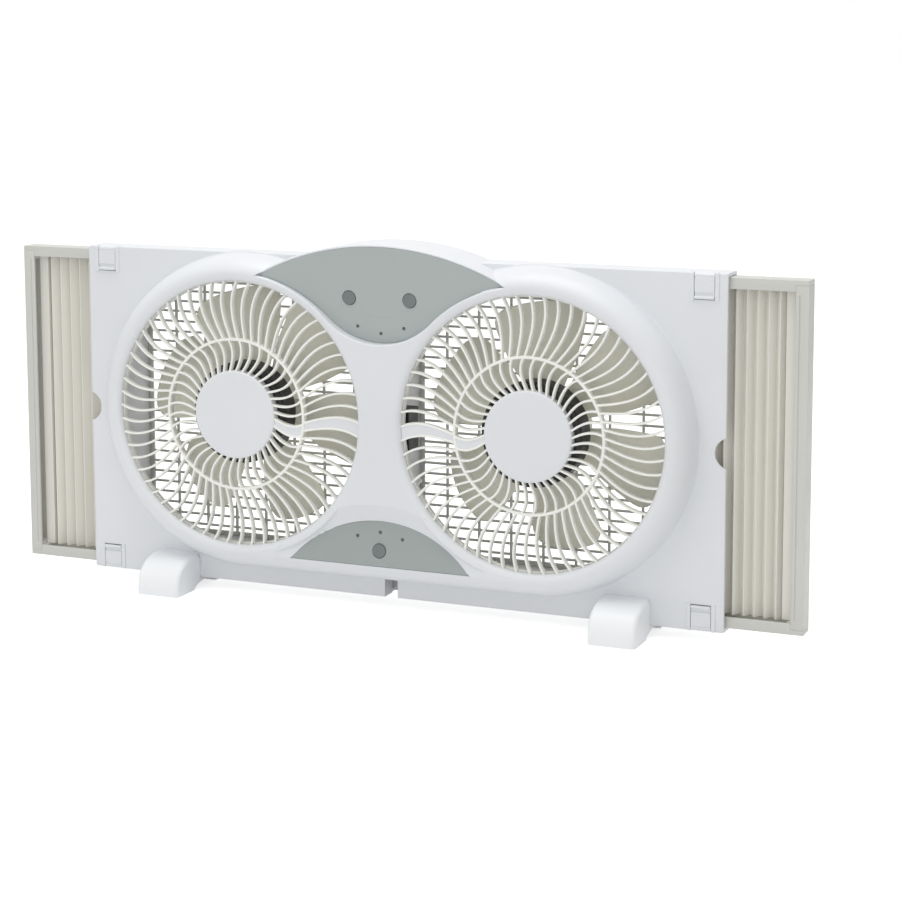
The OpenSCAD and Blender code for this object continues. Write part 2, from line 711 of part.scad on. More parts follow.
// ---- filler panels ------------------------------------------------------------------
function out_of(side) = side < 0 ? left_out : right_out;
rail_back = rail_front - rail_d;
rail_in = 110;                      // length of a rail, from the stile's outer face
rail_end = 4.2;                     // the rail's thinner end that laps the stile
module stile(side) {
  x1 = body_w / 2 + out_of(side);
  z0 = rail_z0 + rail_end;
  color(CREAM) handed(-side) translate([x1 - stile_w, -rail_front, z0])
    difference() {
      cube([stile_w, rail_d, rail_z1 - rail_end - z0]);
      translate([3, -1, 8]) cube([1, 1.6, rail_z1 - rail_end - z0 - 16]);
      translate([-1, 2, 8]) cube([stile_w - 1.5, rail_d - 4, rail_z1 - rail_end - z0 - 16]);
    }
}
// C-section rail, open towards the bellows. Its end steps back to lap the stile.
module rail(side, top) {
  x1 = body_w / 2 + out_of(side);
  z0 = top ? rail_z1 - rail_h : rail_z0;
  color(CREAM) handed(-side) translate([x1 - rail_in, -rail_front, z0]) difference() {
    cube([rail_in, rail_d, rail_h]);
    translate([-1, 2, top ? -1 : 2]) cube([rail_in - stile_w - 3, rail_d - 4, rail_h - 1]);
    translate([rail_in - stile_w, -1, top ? -1 : rail_end])
      cube([stile_w + 1, rail_d + 2, rail_h - rail_end + 1]);
  }
}
// Bellows: a flat end board beside the stile, then a folded sheet back to the
// pocket wall. The fold's thickness is measured front to back.
bellows_t = 0.9;
end_board = 9;
fold_d = 12;
module bellows(side) {
  xa = pocket_x;
  xb = body_w / 2 + out_of(side) - stile_w - 0.3;
  xf = xb - end_board;
  p = (xf - xa) / pleats;
  ty = bellows_t / cos(atan(2 * fold_d / p));
  y0 = -rail_front + 1;
  fold = [for (i = [0:2 * pleats]) [xa + p * i / 2, y0 + (i % 2 == 0 ? fold_d : 0)]];
  color(CREAM) handed(-side) translate([0, 0, rail_z0 + rail_h + 0.3])
    linear_extrude(rail_z1 - rail_z0 - 2 * rail_h - 0.6)
      polygon(concat(fold, [[xf, y0 + 3], [xb, y0 + 3], [xb, y0 + 4.4], [xf + 1, y0 + 4.4],
        [xf + 1, y0 + fold_d + ty]], [for (i = [2 * pleats - 1:-1:0]) fold[i] + [0, ty]]));
}

// ---- latches -----------------------------------------------------------------------
// Drawn for the upper edge about the housing's middle height; t = -1 mirrors down.
barrel_r = 2.3;
pin_r = 1.4;
latch_h = 22;
module latch_turned(t) { if (t > 0) children(); else mirror([0, 0, 1]) children(); }
hinge_y = -plate_h + barrel_r - 0.8;
hinge_z = body_h / 2 - barrel_r;
module latch_frame(t) {
  latch_turned(t) for (s = [-1, 1])
    translate([s * (latch_w / 2 + 2.1) - 1.8, -plate_h - 1.2, body_h / 2 - latch_h - 1.4])
      cube([3.6, 5.4, latch_h + 1.4]);
}
module latch_pocket(t) {
  latch_turned(t) {
    translate([-latch_w / 2 - 0.3, -plate_h - 5, body_h / 2 - latch_h])
      cube([latch_w + 0.6, 5 + wall - 0.6, latch_h + 3]);
    translate([-latch_w / 2 - 0.3, -plate_h - 5, body_h / 2 - 2 * barrel_r - 0.6])
      cube([latch_w + 0.6, 5 + 2 * barrel_r - 0.4, 10]);
    translate([-latch_w / 2 - 3.5, hinge_y, hinge_z]) rotate([0, 90, 0])
      cylinder(h = latch_w + 7, r = pin_r, $fn = 32);
  }
}
module latch(s, t) {
  color(WHITE) translate([s * (body_w / 2 - latch_in), 0, mid_z]) latch_turned(t) difference() {
    union() {
      translate([-latch_w / 2, hinge_y, hinge_z]) rotate([0, 90, 0])
        cylinder(h = latch_w, r = barrel_r, $fn = 48);
      translate([-latch_w / 2, -plate_h, body_h / 2 - latch_h + 0.5])
        cube([latch_w, 1.6, latch_h - barrel_r - 0.5]);
      // finger lip
      translate([-latch_w / 2, -plate_h - 2.4, body_h / 2 - latch_h + 0.5])
        cube([latch_w, 3.2, 2.6]);
      translate([-latch_w / 2, -plate_h - 1, body_h / 2 - latch_h + 5.8])
        cube([latch_w, 1.4, latch_h - barrel_r - 6]);
    }
    translate([-latch_w / 2 - 1, hinge_y, hinge_z]) rotate([0, 90, 0])
      cylinder(h = latch_w + 2, r = pin_r + 0.05, $fn = 32);
  }
}
module latch_pins() {
  color(STEEL) for (s = [-1, 1], t = [-1, 1])
    translate([s * (body_w / 2 - latch_in), 0, mid_z]) latch_turned(t)
      translate([-latch_w / 2 - 3.5, hinge_y, hinge_z]) rotate([0, 90, 0])
        cylinder(h = latch_w + 7, r = pin_r, $fn = 32);
}

// ---- feet ----------------------------------------------------------------------------
pad_h = 1.5;
foot_back_h = 31;                   // the rear half stays below the rear box
// Side view: a quarter ellipse down to the floor, front and back, arched beneath.
module foot_profile(grow) {
  half = foot_l / 2;
  polygon(concat(
    [for (a = [0:10:80]) [-half + (half - plate_h) * (1 - cos(a)) + grow,
      pad_h + (foot_h - pad_h - grow) * sin(a)]],
    [[-plate_h + e, foot_h - grow], [-plate_h + e, foot_back_h - grow],
      [-back_h - e, foot_back_h - grow]],
    [for (a = [80:-10:0]) [half - (half + back_h) * (1 - cos(a)) - grow,
      pad_h + (foot_back_h - pad_h - grow) * sin(a)]]));
}
module foot(side) {
  color(WHITE) translate([side * foot_x - foot_w / 2, 0, 0]) difference() {
    rotate([90, 0, 90]) linear_extrude(foot_w) foot_profile(0);
    // slot for the housing's lower edge
    translate([-1, -plate_h, foot_clear]) cube([foot_w + 2, body_d, foot_h]);
    // hollow underneath, with the sides left as arched cheeks
    difference() {
      translate([wall, 0, 0]) rotate([90, 0, 90]) linear_extrude(foot_w - 2 * wall)
        foot_profile(wall);
      translate([0, -foot_l / 2, 0]) cube([foot_w, 13, foot_h]);
      translate([0, foot_l / 2 - 13, 0]) cube([foot_w, 13, foot_h]);
      translate([0, -plate_h - wall, foot_clear - 3]) cube([foot_w, body_d + 2 * wall, foot_h]);
    }
    translate([-1, 0, -34]) rotate([0, 90, 0]) cylinder(h = foot_w + 2, r = 40, $fn = 180);
  }
}
module foot_pads() {
  color(BLACK) for (s = [-1, 1], x = [-9, 9], y = [-1, 1])
    translate([s * foot_x + x, y * (foot_l / 2 - 7), 0]) cylinder(h = pad_h, r = 4.5, $fn = 32);
}

// ---- the assembly ---------------------------------------------------------------------
front_bezel();
rear_housing();
front_grille(-1);  // left_front_grille
front_grille(1);  // right_front_grille
rear_grille(-1);  // left_rear_grille
rear_grille(1);  // right_rear_grille
top_control_panel();
bottom_control_panel();
button(-button_x, button_z, top_face_h(button_z), stem_len);  // left_speed_button
button(button_x, button_z, top_face_h(button_z), stem_len);  // right_speed_button
button(0, low_button_z, low_face_h(low_button_z), stem_len);  // power_button
lenses(lamps_top, false);  // top_lamp_lenses
lenses(lamps_low, true);  // bottom_lamp_lenses
top_control_board();
bottom_control_board();
run_capacitors();
cord_gland();
housing_screws();
motor_screws();
motor(-1);  // left_motor
motor(1);  // right_motor
motor_bushes(-1);  // left_motor_bushes
motor_bushes(1);  // right_motor_bushes
motor_lead(-1);  // left_motor_lead
motor_lead(1);  // right_motor_lead
shaft(-1);  // left_shaft
shaft(1);  // right_shaft
fan(-1);  // left_fan
fan(1);  // right_fan
blade_nut(-1);  // left_blade_nut
blade_nut(1);  // right_blade_nut
stile(-1);  // left_stile
rail(-1, true);  // left_top_rail
rail(-1, false);  // left_bottom_rail
bellows(-1);  // left_bellows
stile(1);  // right_stile
rail(1, true);  // right_top_rail
rail(1, false);  // right_bottom_rail
bellows(1);  // right_bellows
latch(-1, 1);  // top_left_latch
latch(1, 1);  // top_right_latch
latch(-1, -1);  // bottom_left_latch
latch(1, -1);  // bottom_right_latch
latch_pins();
foot(-1);  // left_foot
foot(1);  // right_foot
foot_pads();
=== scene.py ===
"""Twin window fan on two feet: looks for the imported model, laid out as an add-on."""

import json
import math

import bmesh
import bpy
from bpy.props import FloatProperty, FloatVectorProperty, IntProperty, PointerProperty
from mathutils import Matrix, Vector

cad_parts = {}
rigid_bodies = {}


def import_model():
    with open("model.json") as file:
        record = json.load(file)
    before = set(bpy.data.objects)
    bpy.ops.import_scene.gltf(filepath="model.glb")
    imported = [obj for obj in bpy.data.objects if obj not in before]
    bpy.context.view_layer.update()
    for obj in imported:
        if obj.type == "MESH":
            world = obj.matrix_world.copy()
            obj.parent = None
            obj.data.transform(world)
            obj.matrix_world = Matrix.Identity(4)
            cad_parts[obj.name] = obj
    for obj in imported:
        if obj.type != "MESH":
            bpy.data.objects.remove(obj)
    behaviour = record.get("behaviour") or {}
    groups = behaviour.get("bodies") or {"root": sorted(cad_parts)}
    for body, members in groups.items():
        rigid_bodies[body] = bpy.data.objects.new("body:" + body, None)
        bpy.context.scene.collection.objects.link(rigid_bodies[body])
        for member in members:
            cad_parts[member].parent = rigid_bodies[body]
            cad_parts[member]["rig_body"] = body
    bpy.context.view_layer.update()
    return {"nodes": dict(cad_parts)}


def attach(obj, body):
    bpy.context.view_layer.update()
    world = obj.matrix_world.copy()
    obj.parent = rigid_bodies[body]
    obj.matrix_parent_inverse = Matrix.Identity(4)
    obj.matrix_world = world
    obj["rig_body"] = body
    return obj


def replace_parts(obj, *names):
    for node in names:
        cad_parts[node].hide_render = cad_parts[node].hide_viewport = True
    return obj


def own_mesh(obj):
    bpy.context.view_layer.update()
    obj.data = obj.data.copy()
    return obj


bl_info = {
    "name": "Twin window fan",
    "version": (1, 0, 0),
    "blender": (4, 5, 0),
    "location": "View3D > Sidebar > Window Fan",
    "description": "Builds the shell, grilles, fans and filler panels of a twin window fan",
    "category": "Object",
}

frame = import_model()

MM = 0.001
RING_X, RING_Z = 137.5, 167.5       # fan centres, from the middle and from the floor
MID_Z = 159.0
TOP_Z, LOW_Z = 308.0, 10.0
HALF_W = 300.0
PLATE_H, FACE_H, BACK_H = 8.0, 35.0, -19.0
SEAM_H = -16.5                      # where the front and the rear shell meet
CREST_R, RIM_R, TUBE_R = 124.0, 126.0, 117.5
SKIRT_W = 16.0                      # how far the raised side spreads from the crest
HUMP_C, HUMP_R = (0.0, 79.5), 243.0
ROOF_R, RIM_TOP_R = 241.8, 242.5    # where the hump's rounded edge ends, and the plate's own arc
HILL_C, HILL_R, HILL_FOOT = (0.0, -27.5), 110.0, 125.5
HOLLOW_C, HOLLOW_R = (0.0, 307.06), 72.06
BAND_Z = RING_Z - CREST_R
CAP_R, CAP_H, SPLIT_R = 39.0, 37.5, 66.5
POCKET_X = 272.0                    # where the filler panels' pockets begin
LATCH_X, LATCH_W = 280.5, 17.0
FOOT_X, FOOT_SHIFT, FOOT_W, FOOT_Z = 213.5, 2.5, 42.0, 0.4
SIDES = (("left", -1), ("right", 1))
FRONT = Matrix.Rotation(math.pi / 2, 4, "X") @ Matrix.Scale(MM, 4)


# ---- plane geometry in the front view, millimetres --------------------------------
def polar(centre, r, a):
    a = math.radians(a)
    return (centre[0] + r * math.cos(a), centre[1] + r * math.sin(a))


def arc(centre, r, a0, a1, n):
    return [polar(centre, r, a0 + (a1 - a0) * i / n) for i in range(n + 1)]


def angle_at(centre, p):
    return math.degrees(math.atan2(p[1] - centre[1], p[0] - centre[0]))


def meet(c1, r1, c2, r2):
    """Both points where two circles meet."""
    d = math.dist(c1, c2)
    a = (d * d + r1 * r1 - r2 * r2) / (2 * d)
    k = math.sqrt(max(r1 * r1 - a * a, 0.0))
    ux, uz = (c2[0] - c1[0]) / d, (c2[1] - c1[1]) / d
    px, pz = c1[0] + a * ux, c1[1] + a * uz
    return (px - k * uz, pz + k * ux), (px + k * uz, pz - k * ux)


def mirrored(points):
    return [(-x, z) for x, z in reversed(points)]


def inset(points, d):
    """Moves a closed outline to the left of its edges by d, with mitred corners."""
    if not d:
        return list(points)
    out, n = [], len(points)
    for i, (x, z) in enumerate(points):
        (x0, z0), (x1, z1) = points[i - 1], points[(i + 1) % n]
        a = Vector((z0 - z, x - x0)).normalized()
        b = Vector((z - z1, x1 - x)).normalized()
        m = (a + b) / max(1 + a.dot(b), 0.2)
        out.append((x + d * m.x, z + d * m.y))
    return out


def turned_left(points, wanted=True):
    area = sum(points[i - 1][0] * p[1] - p[0] * points[i - 1][1] for i, p in enumerate(points))
    return list(points) if (area > 0) == wanted else list(reversed(points))


def box_outline(x0, x1, z0, z1, r=0.0, n=4):
    """A rectangle with rounded corners."""
    if r <= 0:
        return [(x0, z0), (x1, z0), (x1, z1), (x0, z1)]
    corners = ((x1 - r, z0 + r), (x1 - r, z1 - r), (x0 + r, z1 - r), (x0 + r, z0 + r))
    return [p for i, corner in enumerate(corners) for p in arc(corner, r, 90 * i - 90, 90 * i, n)]


def hole(centre, r, n=32):
    return [polar(centre, r, 360 * i / n) for i in range(n)]


def side_span(side, a, b):
    """Where a stretch between two distances from the middle lies on one side, in order."""
    return sorted((side * a, side * b))


def quarter(steps):
    """Sine and cosine at even steps over a quarter turn."""
    turns = [math.radians(90 * i / steps) for i in range(steps + 1)]
    return [(math.sin(t), math.cos(t)) for t in turns]


def top_plane(z):
    """Height of the upper panel, which leans back towards the waist."""
    return FACE_H - 0.4 - (HUMP_C[1] + HUMP_R - z) * math.tan(math.radians(6.5))


def low_plane(z):
    """Height of the lower panel, which leans back towards the waist."""
    return FACE_H - 0.6 - (z - BAND_Z) * math.tan(math.radians(8.5))


# ---- mesh building ------------------------------------------------------------------
def as_mesh(bm, name):
    mesh = bpy.data.meshes.new(name)
    bm.to_mesh(mesh)
    bm.free()
    return mesh


def add_object(name, data):
    obj = bpy.data.objects.new(name, data)
    bpy.context.scene.collection.objects.link(obj)
    return obj


class Shape:
    """Closed shapes drawn in front coordinates (x, z, height), joined into one mesh."""

    def __init__(self):
        self.bm = bmesh.new()

    def keep(self, part):
        """Welds one closed part, turns its faces outward and adds it."""
        bmesh.ops.remove_doubles(part, verts=part.verts, dist=0.002)
        bmesh.ops.recalc_face_normals(part, faces=part.faces)
        mesh = as_mesh(part, "part")
        self.bm.from_mesh(mesh)
        bpy.data.meshes.remove(mesh)

    def solid(self, verts, faces):
        part = bmesh.new()
        made = [part.verts.new(v) for v in verts]
        for f in faces:
            part.faces.new([made[i] for i in f])
        self.keep(part)

    def loft(self, rows, ring=False):
        """Skin over rows that are each a closed loop, capped unless they form a ring."""
        n, m = len(rows[0]), len(rows)
        faces = [(i * n + k, i * n + (k + 1) % n, (i + 1) % m * n + (k + 1) % n, (i + 1) % m * n + k)
                 for i in range(m if ring else m - 1) for k in range(n)]
        if not ring:
            faces += [tuple(range(n)), tuple(range((m - 1) * n, m * n))]
        self.solid([p for row in rows for p in row], faces)

    def turned(self, profile, centre=(0.0, 0.0), n=160):
        """A closed section (radius, height) turned about an axis."""
        rows = []
        for x, z in hole((0, 0), 1, n):
            rows.append([(centre[0] + r * x, centre[1] + r * z, h) for r, h in profile])
        k = len(profile)
        off_axis = [j for j in range(k) if max(profile[j][0], profile[(j + 1) % k][0]) > 1e-6]
        faces = [(i * k + j, i * k + (j + 1) % k, (i + 1) % n * k + (j + 1) % k, (i + 1) % n * k + j)
                 for i in range(n) for j in off_axis]
        self.solid([p for row in rows for p in row], faces)

    def thick(self, front, back):
        """A closed sheet between two grids of points."""
        m, n = len(front), len(front[0])
        verts = [p for row in front for p in row] + [p for row in back for p in row]
        o, faces = m * n, []
        for i in range(m - 1):
            for k in range(n - 1):
                a, b, c, d = i * n + k, i * n + k + 1, (i + 1) * n + k + 1, (i + 1) * n + k
                faces += [(a, b, c, d), (o + d, o + c, o + b, o + a)]
        for i in range(m - 1):
            for k in (0, n - 1):
                a, b = i * n + k, (i + 1) * n + k
                faces.append((a, b, o + b, o + a))
        for k in range(n - 1):
            for i in (0, m - 1):
                a, b = i * n + k, i * n + k + 1
                faces.append((a, b, o + b, o + a))
        self.solid(verts, faces)

    def sheet(self, rows, depth):
        """A closed sheet of even depth behind a grid of points."""
        self.thick(rows, [[(x, z, h - depth) for x, z, h in row] for row in rows])

    def slab(self, outline, h0, h1, edge=0.3, holes=(), steps=3, lift=None, back_edge=0.0):
        """A flat plate between two heights with rounded edges, and holes."""
        levels = [(0.0, h0)]
        if back_edge:
            levels = [(back_edge * (1 - s), h0 + back_edge * (1 - c)) for s, c in quarter(steps)]
        if edge:
            levels += [(edge * (1 - c), h1 - edge + edge * s) for s, c in quarter(steps)]
        else:
            levels.append((0.0, h1))
        part = bmesh.new()
        front_edges, back_edges = [], []
        for i, points in enumerate([outline, *holes]):
            points = turned_left(points, i == 0)
            rows = [[part.verts.new((x, z, h)) for x, z in inset(points, d)] for d, h in levels]
            n = len(points)
            for a, b in zip(rows, rows[1:]):
                for k in range(n):
                    part.faces.new((a[k], a[(k + 1) % n], b[(k + 1) % n], b[k]))
            for row, edges in ((rows[0], back_edges), (rows[-1], front_edges)):
                edges += [part.edges.get((row[k], row[(k + 1) % n])) for k in range(n)]
        for edges in (front_edges, back_edges):
            bmesh.ops.triangle_fill(part, edges=edges, use_beauty=True)
        if lift:
            for v in part.verts:
                v.co.z += lift(v.co.x, v.co.y)
        self.keep(part)

    def block(self, x0, x1, z0, z1, h0, h1, edge=0.5, corner=0.0):
        """A box with rounded corners and front edges."""
        self.slab(box_outline(x0, x1, z0, z1, max(corner, edge * 1.1)), h0, h1, edge)

    def mesh(self, name, others=()):
        """The finished mesh in model metres, with other meshes made there joined to it."""
        bmesh.ops.transform(self.bm, matrix=FRONT, verts=self.bm.verts)
        for other in others:
            self.bm.from_mesh(other)
            bpy.data.meshes.remove(other)
        bmesh.ops.recalc_face_normals(self.bm, faces=self.bm.faces)
        return as_mesh(self.bm, name)


def made_plain(obj):
    """The object's evaluated mesh in place of its own, with no modifier left."""
    bpy.context.view_layer.update()
    ready = obj.evaluated_get(bpy.context.evaluated_depsgraph_get())
    mesh = bpy.data.meshes.new_from_object(ready)
    obj.modifiers.clear()
    old, obj.data = obj.data, mesh
    mesh.name = obj.name
    if old and not old.users:
        bpy.data.meshes.remove(old)
    return obj


def piece(name, source, finish, body, nodes, sharp=42.0):
    """One finished piece: shaded, dressed, riding on its body, in place of its nodes."""
    mesh = source.mesh(name) if isinstance(source, Shape) else source
    obj = add_object(name, mesh)
    mesh.materials.clear()
    mesh.materials.append(finish_of(finish))
    mesh.shade_smooth()
    mesh.set_sharp_from_angle(angle=math.radians(sharp))
    weighted = obj.modifiers.new("even shading", "WEIGHTED_NORMAL")
    weighted.keep_sharp = True
    made_plain(obj)
    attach(obj, body)
    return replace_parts(obj, *nodes)


def dressed(node, finish, width):
    """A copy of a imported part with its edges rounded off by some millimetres."""
    bm = bmesh.new()
    bm.from_mesh(frame["nodes"][node].data)
    bmesh.ops.remove_doubles(bm, verts=bm.verts, dist=1e-6)
    bmesh.ops.dissolve_limit(bm, angle_limit=math.radians(1), verts=bm.verts, edges=bm.edges)
    bmesh.ops.recalc_face_normals(bm, faces=bm.faces)
    mesh = as_mesh(bm, node)
    obj = add_object(node + "_finished", mesh)
    mesh.materials.append(finish_of(finish))
    mesh.shade_smooth()
    bevel = obj.modifiers.new("soft edges", "BEVEL")
    bevel.width, bevel.segments = width * MM, 3
    bevel.limit_method, bevel.angle_limit = "ANGLE", math.radians(40)
    bevel.use_clamp_overlap = bevel.harden_normals = True
    made_plain(obj)
    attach(obj, frame["nodes"][node]["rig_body"])
    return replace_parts(obj, node)


# ---- nodes ---------------------------------------------------------------------------
def wire(tree, node, inputs):
    """Links or sets inputs of a node, given by name or number."""
    for where, value in dict(inputs).items():
        if isinstance(value, bpy.types.NodeSocket):
            tree.links.new(value, node.inputs[where])
        else:
            node.inputs[where].default_value = value
    return node


def add_node(tree, kind, inputs=(), **settings):
    node = tree.nodes.new(kind)
    for key, value in settings.items():
        setattr(node, key, value)
    return wire(tree, node, inputs)


class Tree:
    """Lays out one tree: named inputs on the left, realized geometry at the end."""

    def __init__(self, name, *inputs):
        self.tree = bpy.data.node_groups.new(name, "GeometryNodeTree")
        self.ids, face = {}, self.tree.interface
        face.new_socket("Geometry", in_out="INPUT", socket_type="NodeSocketGeometry")
        for label, kind, value in inputs:
            socket = face.new_socket(label, in_out="INPUT", socket_type="NodeSocket" + kind)
            socket.default_value = value
            self.ids[label] = socket.identifier
        face.new_socket("Geometry", in_out="OUTPUT", socket_type="NodeSocketGeometry")
        self.given = self.node("NodeGroupInput").outputs

    def node(self, kind, inputs=(), **settings):
        return add_node(self.tree, kind, inputs, **settings)

    def out(self, kind, inputs=(), **settings):
        return self.node(kind, inputs, **settings).outputs[0]

    def calc(self, operation, a, b=0.0):
        return self.out("ShaderNodeMath", {0: a, 1: b}, operation=operation)

    def plus(self, a, b):
        return self.calc("ADD", a, b)

    def minus(self, a, b):
        return self.calc("SUBTRACT", a, b)

    def times(self, a, b):
        return self.calc("MULTIPLY", a, b)

    def share(self, value, start, end):
        """How much of the way from start to end a value has gone."""
        return self.calc("DIVIDE", self.minus(value, start), self.minus(end, start))

    def vector(self, x=0.0, y=0.0, z=0.0):
        return self.out("ShaderNodeCombineXYZ", {0: x, 1: y, 2: z})

    def round_about(self, shape, count, phase=0.0):
        """Copies of a shape turned evenly about the origin."""
        points = self.out("GeometryNodePoints", {"Count": count})
        step = self.calc("DIVIDE", 360.0, count)
        angle = self.plus(self.times(self.out("GeometryNodeInputIndex"), step), phase)
        turn = self.out("FunctionNodeAxisAngleToRotation", {
            "Axis": (0.0, 0.0, 1.0), "Angle": self.calc("RADIANS", angle)})
        return self.out("GeometryNodeInstanceOnPoints", {
            "Points": points, "Instance": shape, "Rotation": turn})

    def stand(self, shape, centre):
        """Turns front coordinates upright and moves them to a fan's centre."""
        return self.out("GeometryNodeTransform", {
            "Geometry": shape, "Translation": centre, "Rotation": (math.pi / 2, 0.0, 0.0)})

    def end(self, shape):
        real = self.out("GeometryNodeRealizeInstances", {"Geometry": shape})
        self.node("NodeGroupOutput", {"Geometry": real})
        return self

    def grow(self, name, mesh=None, **values):
        """The plain mesh that the tree makes from these inputs."""
        obj = add_object(name, mesh or bpy.data.meshes.new(name))
        modifier = obj.modifiers.new(self.tree.name, "NODES")
        modifier.node_group = self.tree
        for label, value in values.items():
            modifier[self.ids[label.replace("_", " ").capitalize()]] = value
        made_plain(obj)
        grown = obj.data
        bpy.data.objects.remove(obj)
        return grown


def rib_tree():
    """Ribs that bow sideways on their way out over a shallow dome."""
    t = Tree("bowed_ribs", ("Ribs", "Int", 60), ("Inner radius", "Float", 0.066),
             ("Outer radius", "Float", 0.1167), ("Thickness", "Float", 0.0019),
             ("Depth", "Float", 0.0055), ("Edge", "Float", 0.0006), ("Crown angle", "Float", 2.0),
             ("Crown radius", "Float", 0.097), ("Sweep", "Float", -4.9), ("Hand", "Float", 1.0),
             ("Rim height", "Float", 0.0305), ("Dome rise", "Float", 0.0046),
             ("Dome inner", "Float", 0.039), ("Dome outer", "Float", 0.1175),
             ("Segments", "Int", 14), ("Centre", "Vector", (0.0, 0.0, 0.0)))
    g, times, plus, minus = t.given, t.times, t.plus, t.minus
    line = t.out("GeometryNodeCurvePrimitiveLine", {
        "Start": t.vector(g["Inner radius"]), "End": t.vector(g["Outer radius"])})
    path = t.out("GeometryNodeResampleCurve", {"Curve": line, "Count": g["Segments"]}, mode="COUNT")
    radius = t.out("ShaderNodeSeparateXYZ", {0: t.out("GeometryNodeInputPosition")})
    run = t.share(radius, g["Crown radius"], g["Inner radius"])
    bow = times(times(run, run), g["Sweep"])
    angle = t.calc("RADIANS", times(plus(bow, g["Crown angle"]), g["Hand"]))
    fall = t.share(radius, g["Dome inner"], g["Dome outer"])
    dome = times(minus(1.0, times(fall, fall)), g["Dome rise"])
    height = minus(plus(dome, g["Rim height"]), times(g["Depth"], 0.5))
    bent = t.out("GeometryNodeSetPosition", {"Geometry": path, "Position": t.vector(
        times(radius, t.calc("COSINE", angle)), times(radius, t.calc("SINE", angle)), height)})
    upright = t.out("GeometryNodeSetCurveNormal", {"Curve": bent}, mode="Z_UP")
    section = t.out("GeometryNodeCurvePrimitiveQuadrilateral", {
        "Width": g["Thickness"], "Height": g["Depth"]}, mode="RECTANGLE")
    rounded = t.out("GeometryNodeFilletCurve", {
        "Curve": section, "Count": 2, "Radius": g["Edge"]}, mode="POLY")
    rib = t.out("GeometryNodeCurveToMesh", {
        "Curve": upright, "Profile Curve": rounded, "Fill Caps": True})
    return t.end(t.stand(t.round_about(rib, g["Ribs"]), g["Centre"]))


def round_tree():
    """Copies of one shape round a fan's shaft."""
    t = Tree("copies_round_shaft", ("Copies", "Int", 6), ("Phase", "Float", 0.0),
             ("Centre", "Vector", (0.0, 0.0, 0.0)))
    g = t.given
    return t.end(t.stand(t.round_about(g["Geometry"], g["Copies"], g["Phase"]), g["Centre"]))


def row_tree():
    """Copies of one shape in an even row."""
    t = Tree("copies_in_row", ("Copies", "Int", 8), ("Step", "Vector", (0.0, 0.0, 0.0095)))
    g = t.given
    row = t.out("GeometryNodeMeshLine", {"Count": g["Copies"], "Offset": g["Step"]}, mode="OFFSET")
    placed = t.out("GeometryNodeInstanceOnPoints", {"Points": row, "Instance": g["Geometry"]})
    return t.end(placed)


# ---- materials -------------------------------------------------------------------------
WHITE = (1.0, 1.0, 1.0, 1.0)
DUST = (0.22, 0.21, 0.19, 1.0)


def linear(red, green, blue):
    return tuple((c / 255 / 12.92) if c <= 10 else ((c / 255 + 0.055) / 1.055) ** 2.4
                 for c in (red, green, blue))


def scaled(colour, k):
    return (*(min(c * k, 1.0) for c in colour), 1.0)


class Finish:
    """A shader built on Object coordinates, so a pattern stays in the moulding."""

    def __init__(self, name, roughness=0.4, metallic=0.0, specular=0.5, ior=1.46):
        self.material = bpy.data.materials.new(name)
        self.material.use_nodes = True
        self.tree = self.material.node_tree
        self.shader = self.tree.nodes["Principled BSDF"]
        self.give({"Roughness": roughness, "Metallic": metallic, "Specular IOR Level": specular, "IOR": ior})
        self.place = self.node("ShaderNodeTexCoord").outputs["Object"]

    def node(self, kind, inputs=(), **settings):
        return add_node(self.tree, kind, inputs, **settings)

    def give(self, inputs):
        wire(self.tree, self.shader, inputs)

    def stretched(self, scale):
        return self.node("ShaderNodeMapping", {0: self.place, "Scale": scale}).outputs[0]

    def noise(self, scale, detail=2.0, rough=0.5, at=None):
        return self.node("ShaderNodeTexNoise", {"Vector": at or self.place, "Scale": scale,
                                                "Detail": detail, "Roughness": rough}).outputs[0]

    def spread(self, value, low, high, a=0.3, b=0.7):
        return self.node("ShaderNodeMapRange", {0: value, 1: a, 2: b, 3: low, 4: high}).outputs[0]

    def mix(self, value, dark, light):
        return self.node("ShaderNodeMix", {0: value, 6: dark, 7: light}, data_type="RGBA").outputs[2]

    def tint(self, colour, patches, dark, light):
        """The colour, darker and lighter in patches."""
        self.give({"Base Color": self.mottled(colour, patches, dark, light)})

    def mottled(self, colour, patches, dark, light):
        return self.mix(self.spread(patches, 0.0, 1.0), scaled(colour, dark), scaled(colour, light))

    def matt(self, value, low, high):
        self.give({"Roughness": self.spread(value, low, high)})

    def bump(self, value, depth, strength=1.0, before=None):
        inputs = {"Height": value, "Distance": depth, "Strength": strength}
        if before:
            inputs["Normal"] = before
        bumped = self.node("ShaderNodeBump", inputs).outputs[0]
        self.give({"Normal": bumped})
        return bumped


def moulded(name, colour, roughness=0.42, shift=0.02, grain=0.00004):
    """Injection-moulded plastic: spark-eroded grain over slow flow marks."""
    f = Finish(name, roughness)
    f.tint(colour, f.noise(9.0, 3.0), 1 - shift, 1 + shift)
    f.matt(f.noise(55.0, 3.0), roughness - 0.05, roughness + 0.05)
    flow = f.bump(f.noise(14.0, 1.0), 0.0002, 0.5)
    f.bump(f.noise(1300.0, 1.0), grain, 1.0, flow)
    return f.material


def turned_metal(name, colour, roughness=0.28):
    """Metal with the fine rings that a lathe leaves."""
    f = Finish(name, roughness, metallic=1.0)
    f.tint(colour, f.noise(70.0, 2.0), 0.9, 1.05)
    f.matt(f.noise(240.0, 2.0, at=f.stretched((1.0, 8.0, 1.0))), roughness - 0.06, roughness + 0.1)
    f.bump(f.noise(500.0, 2.0, at=f.stretched((1.0, 9.0, 1.0))), 0.00003)
    return f.material


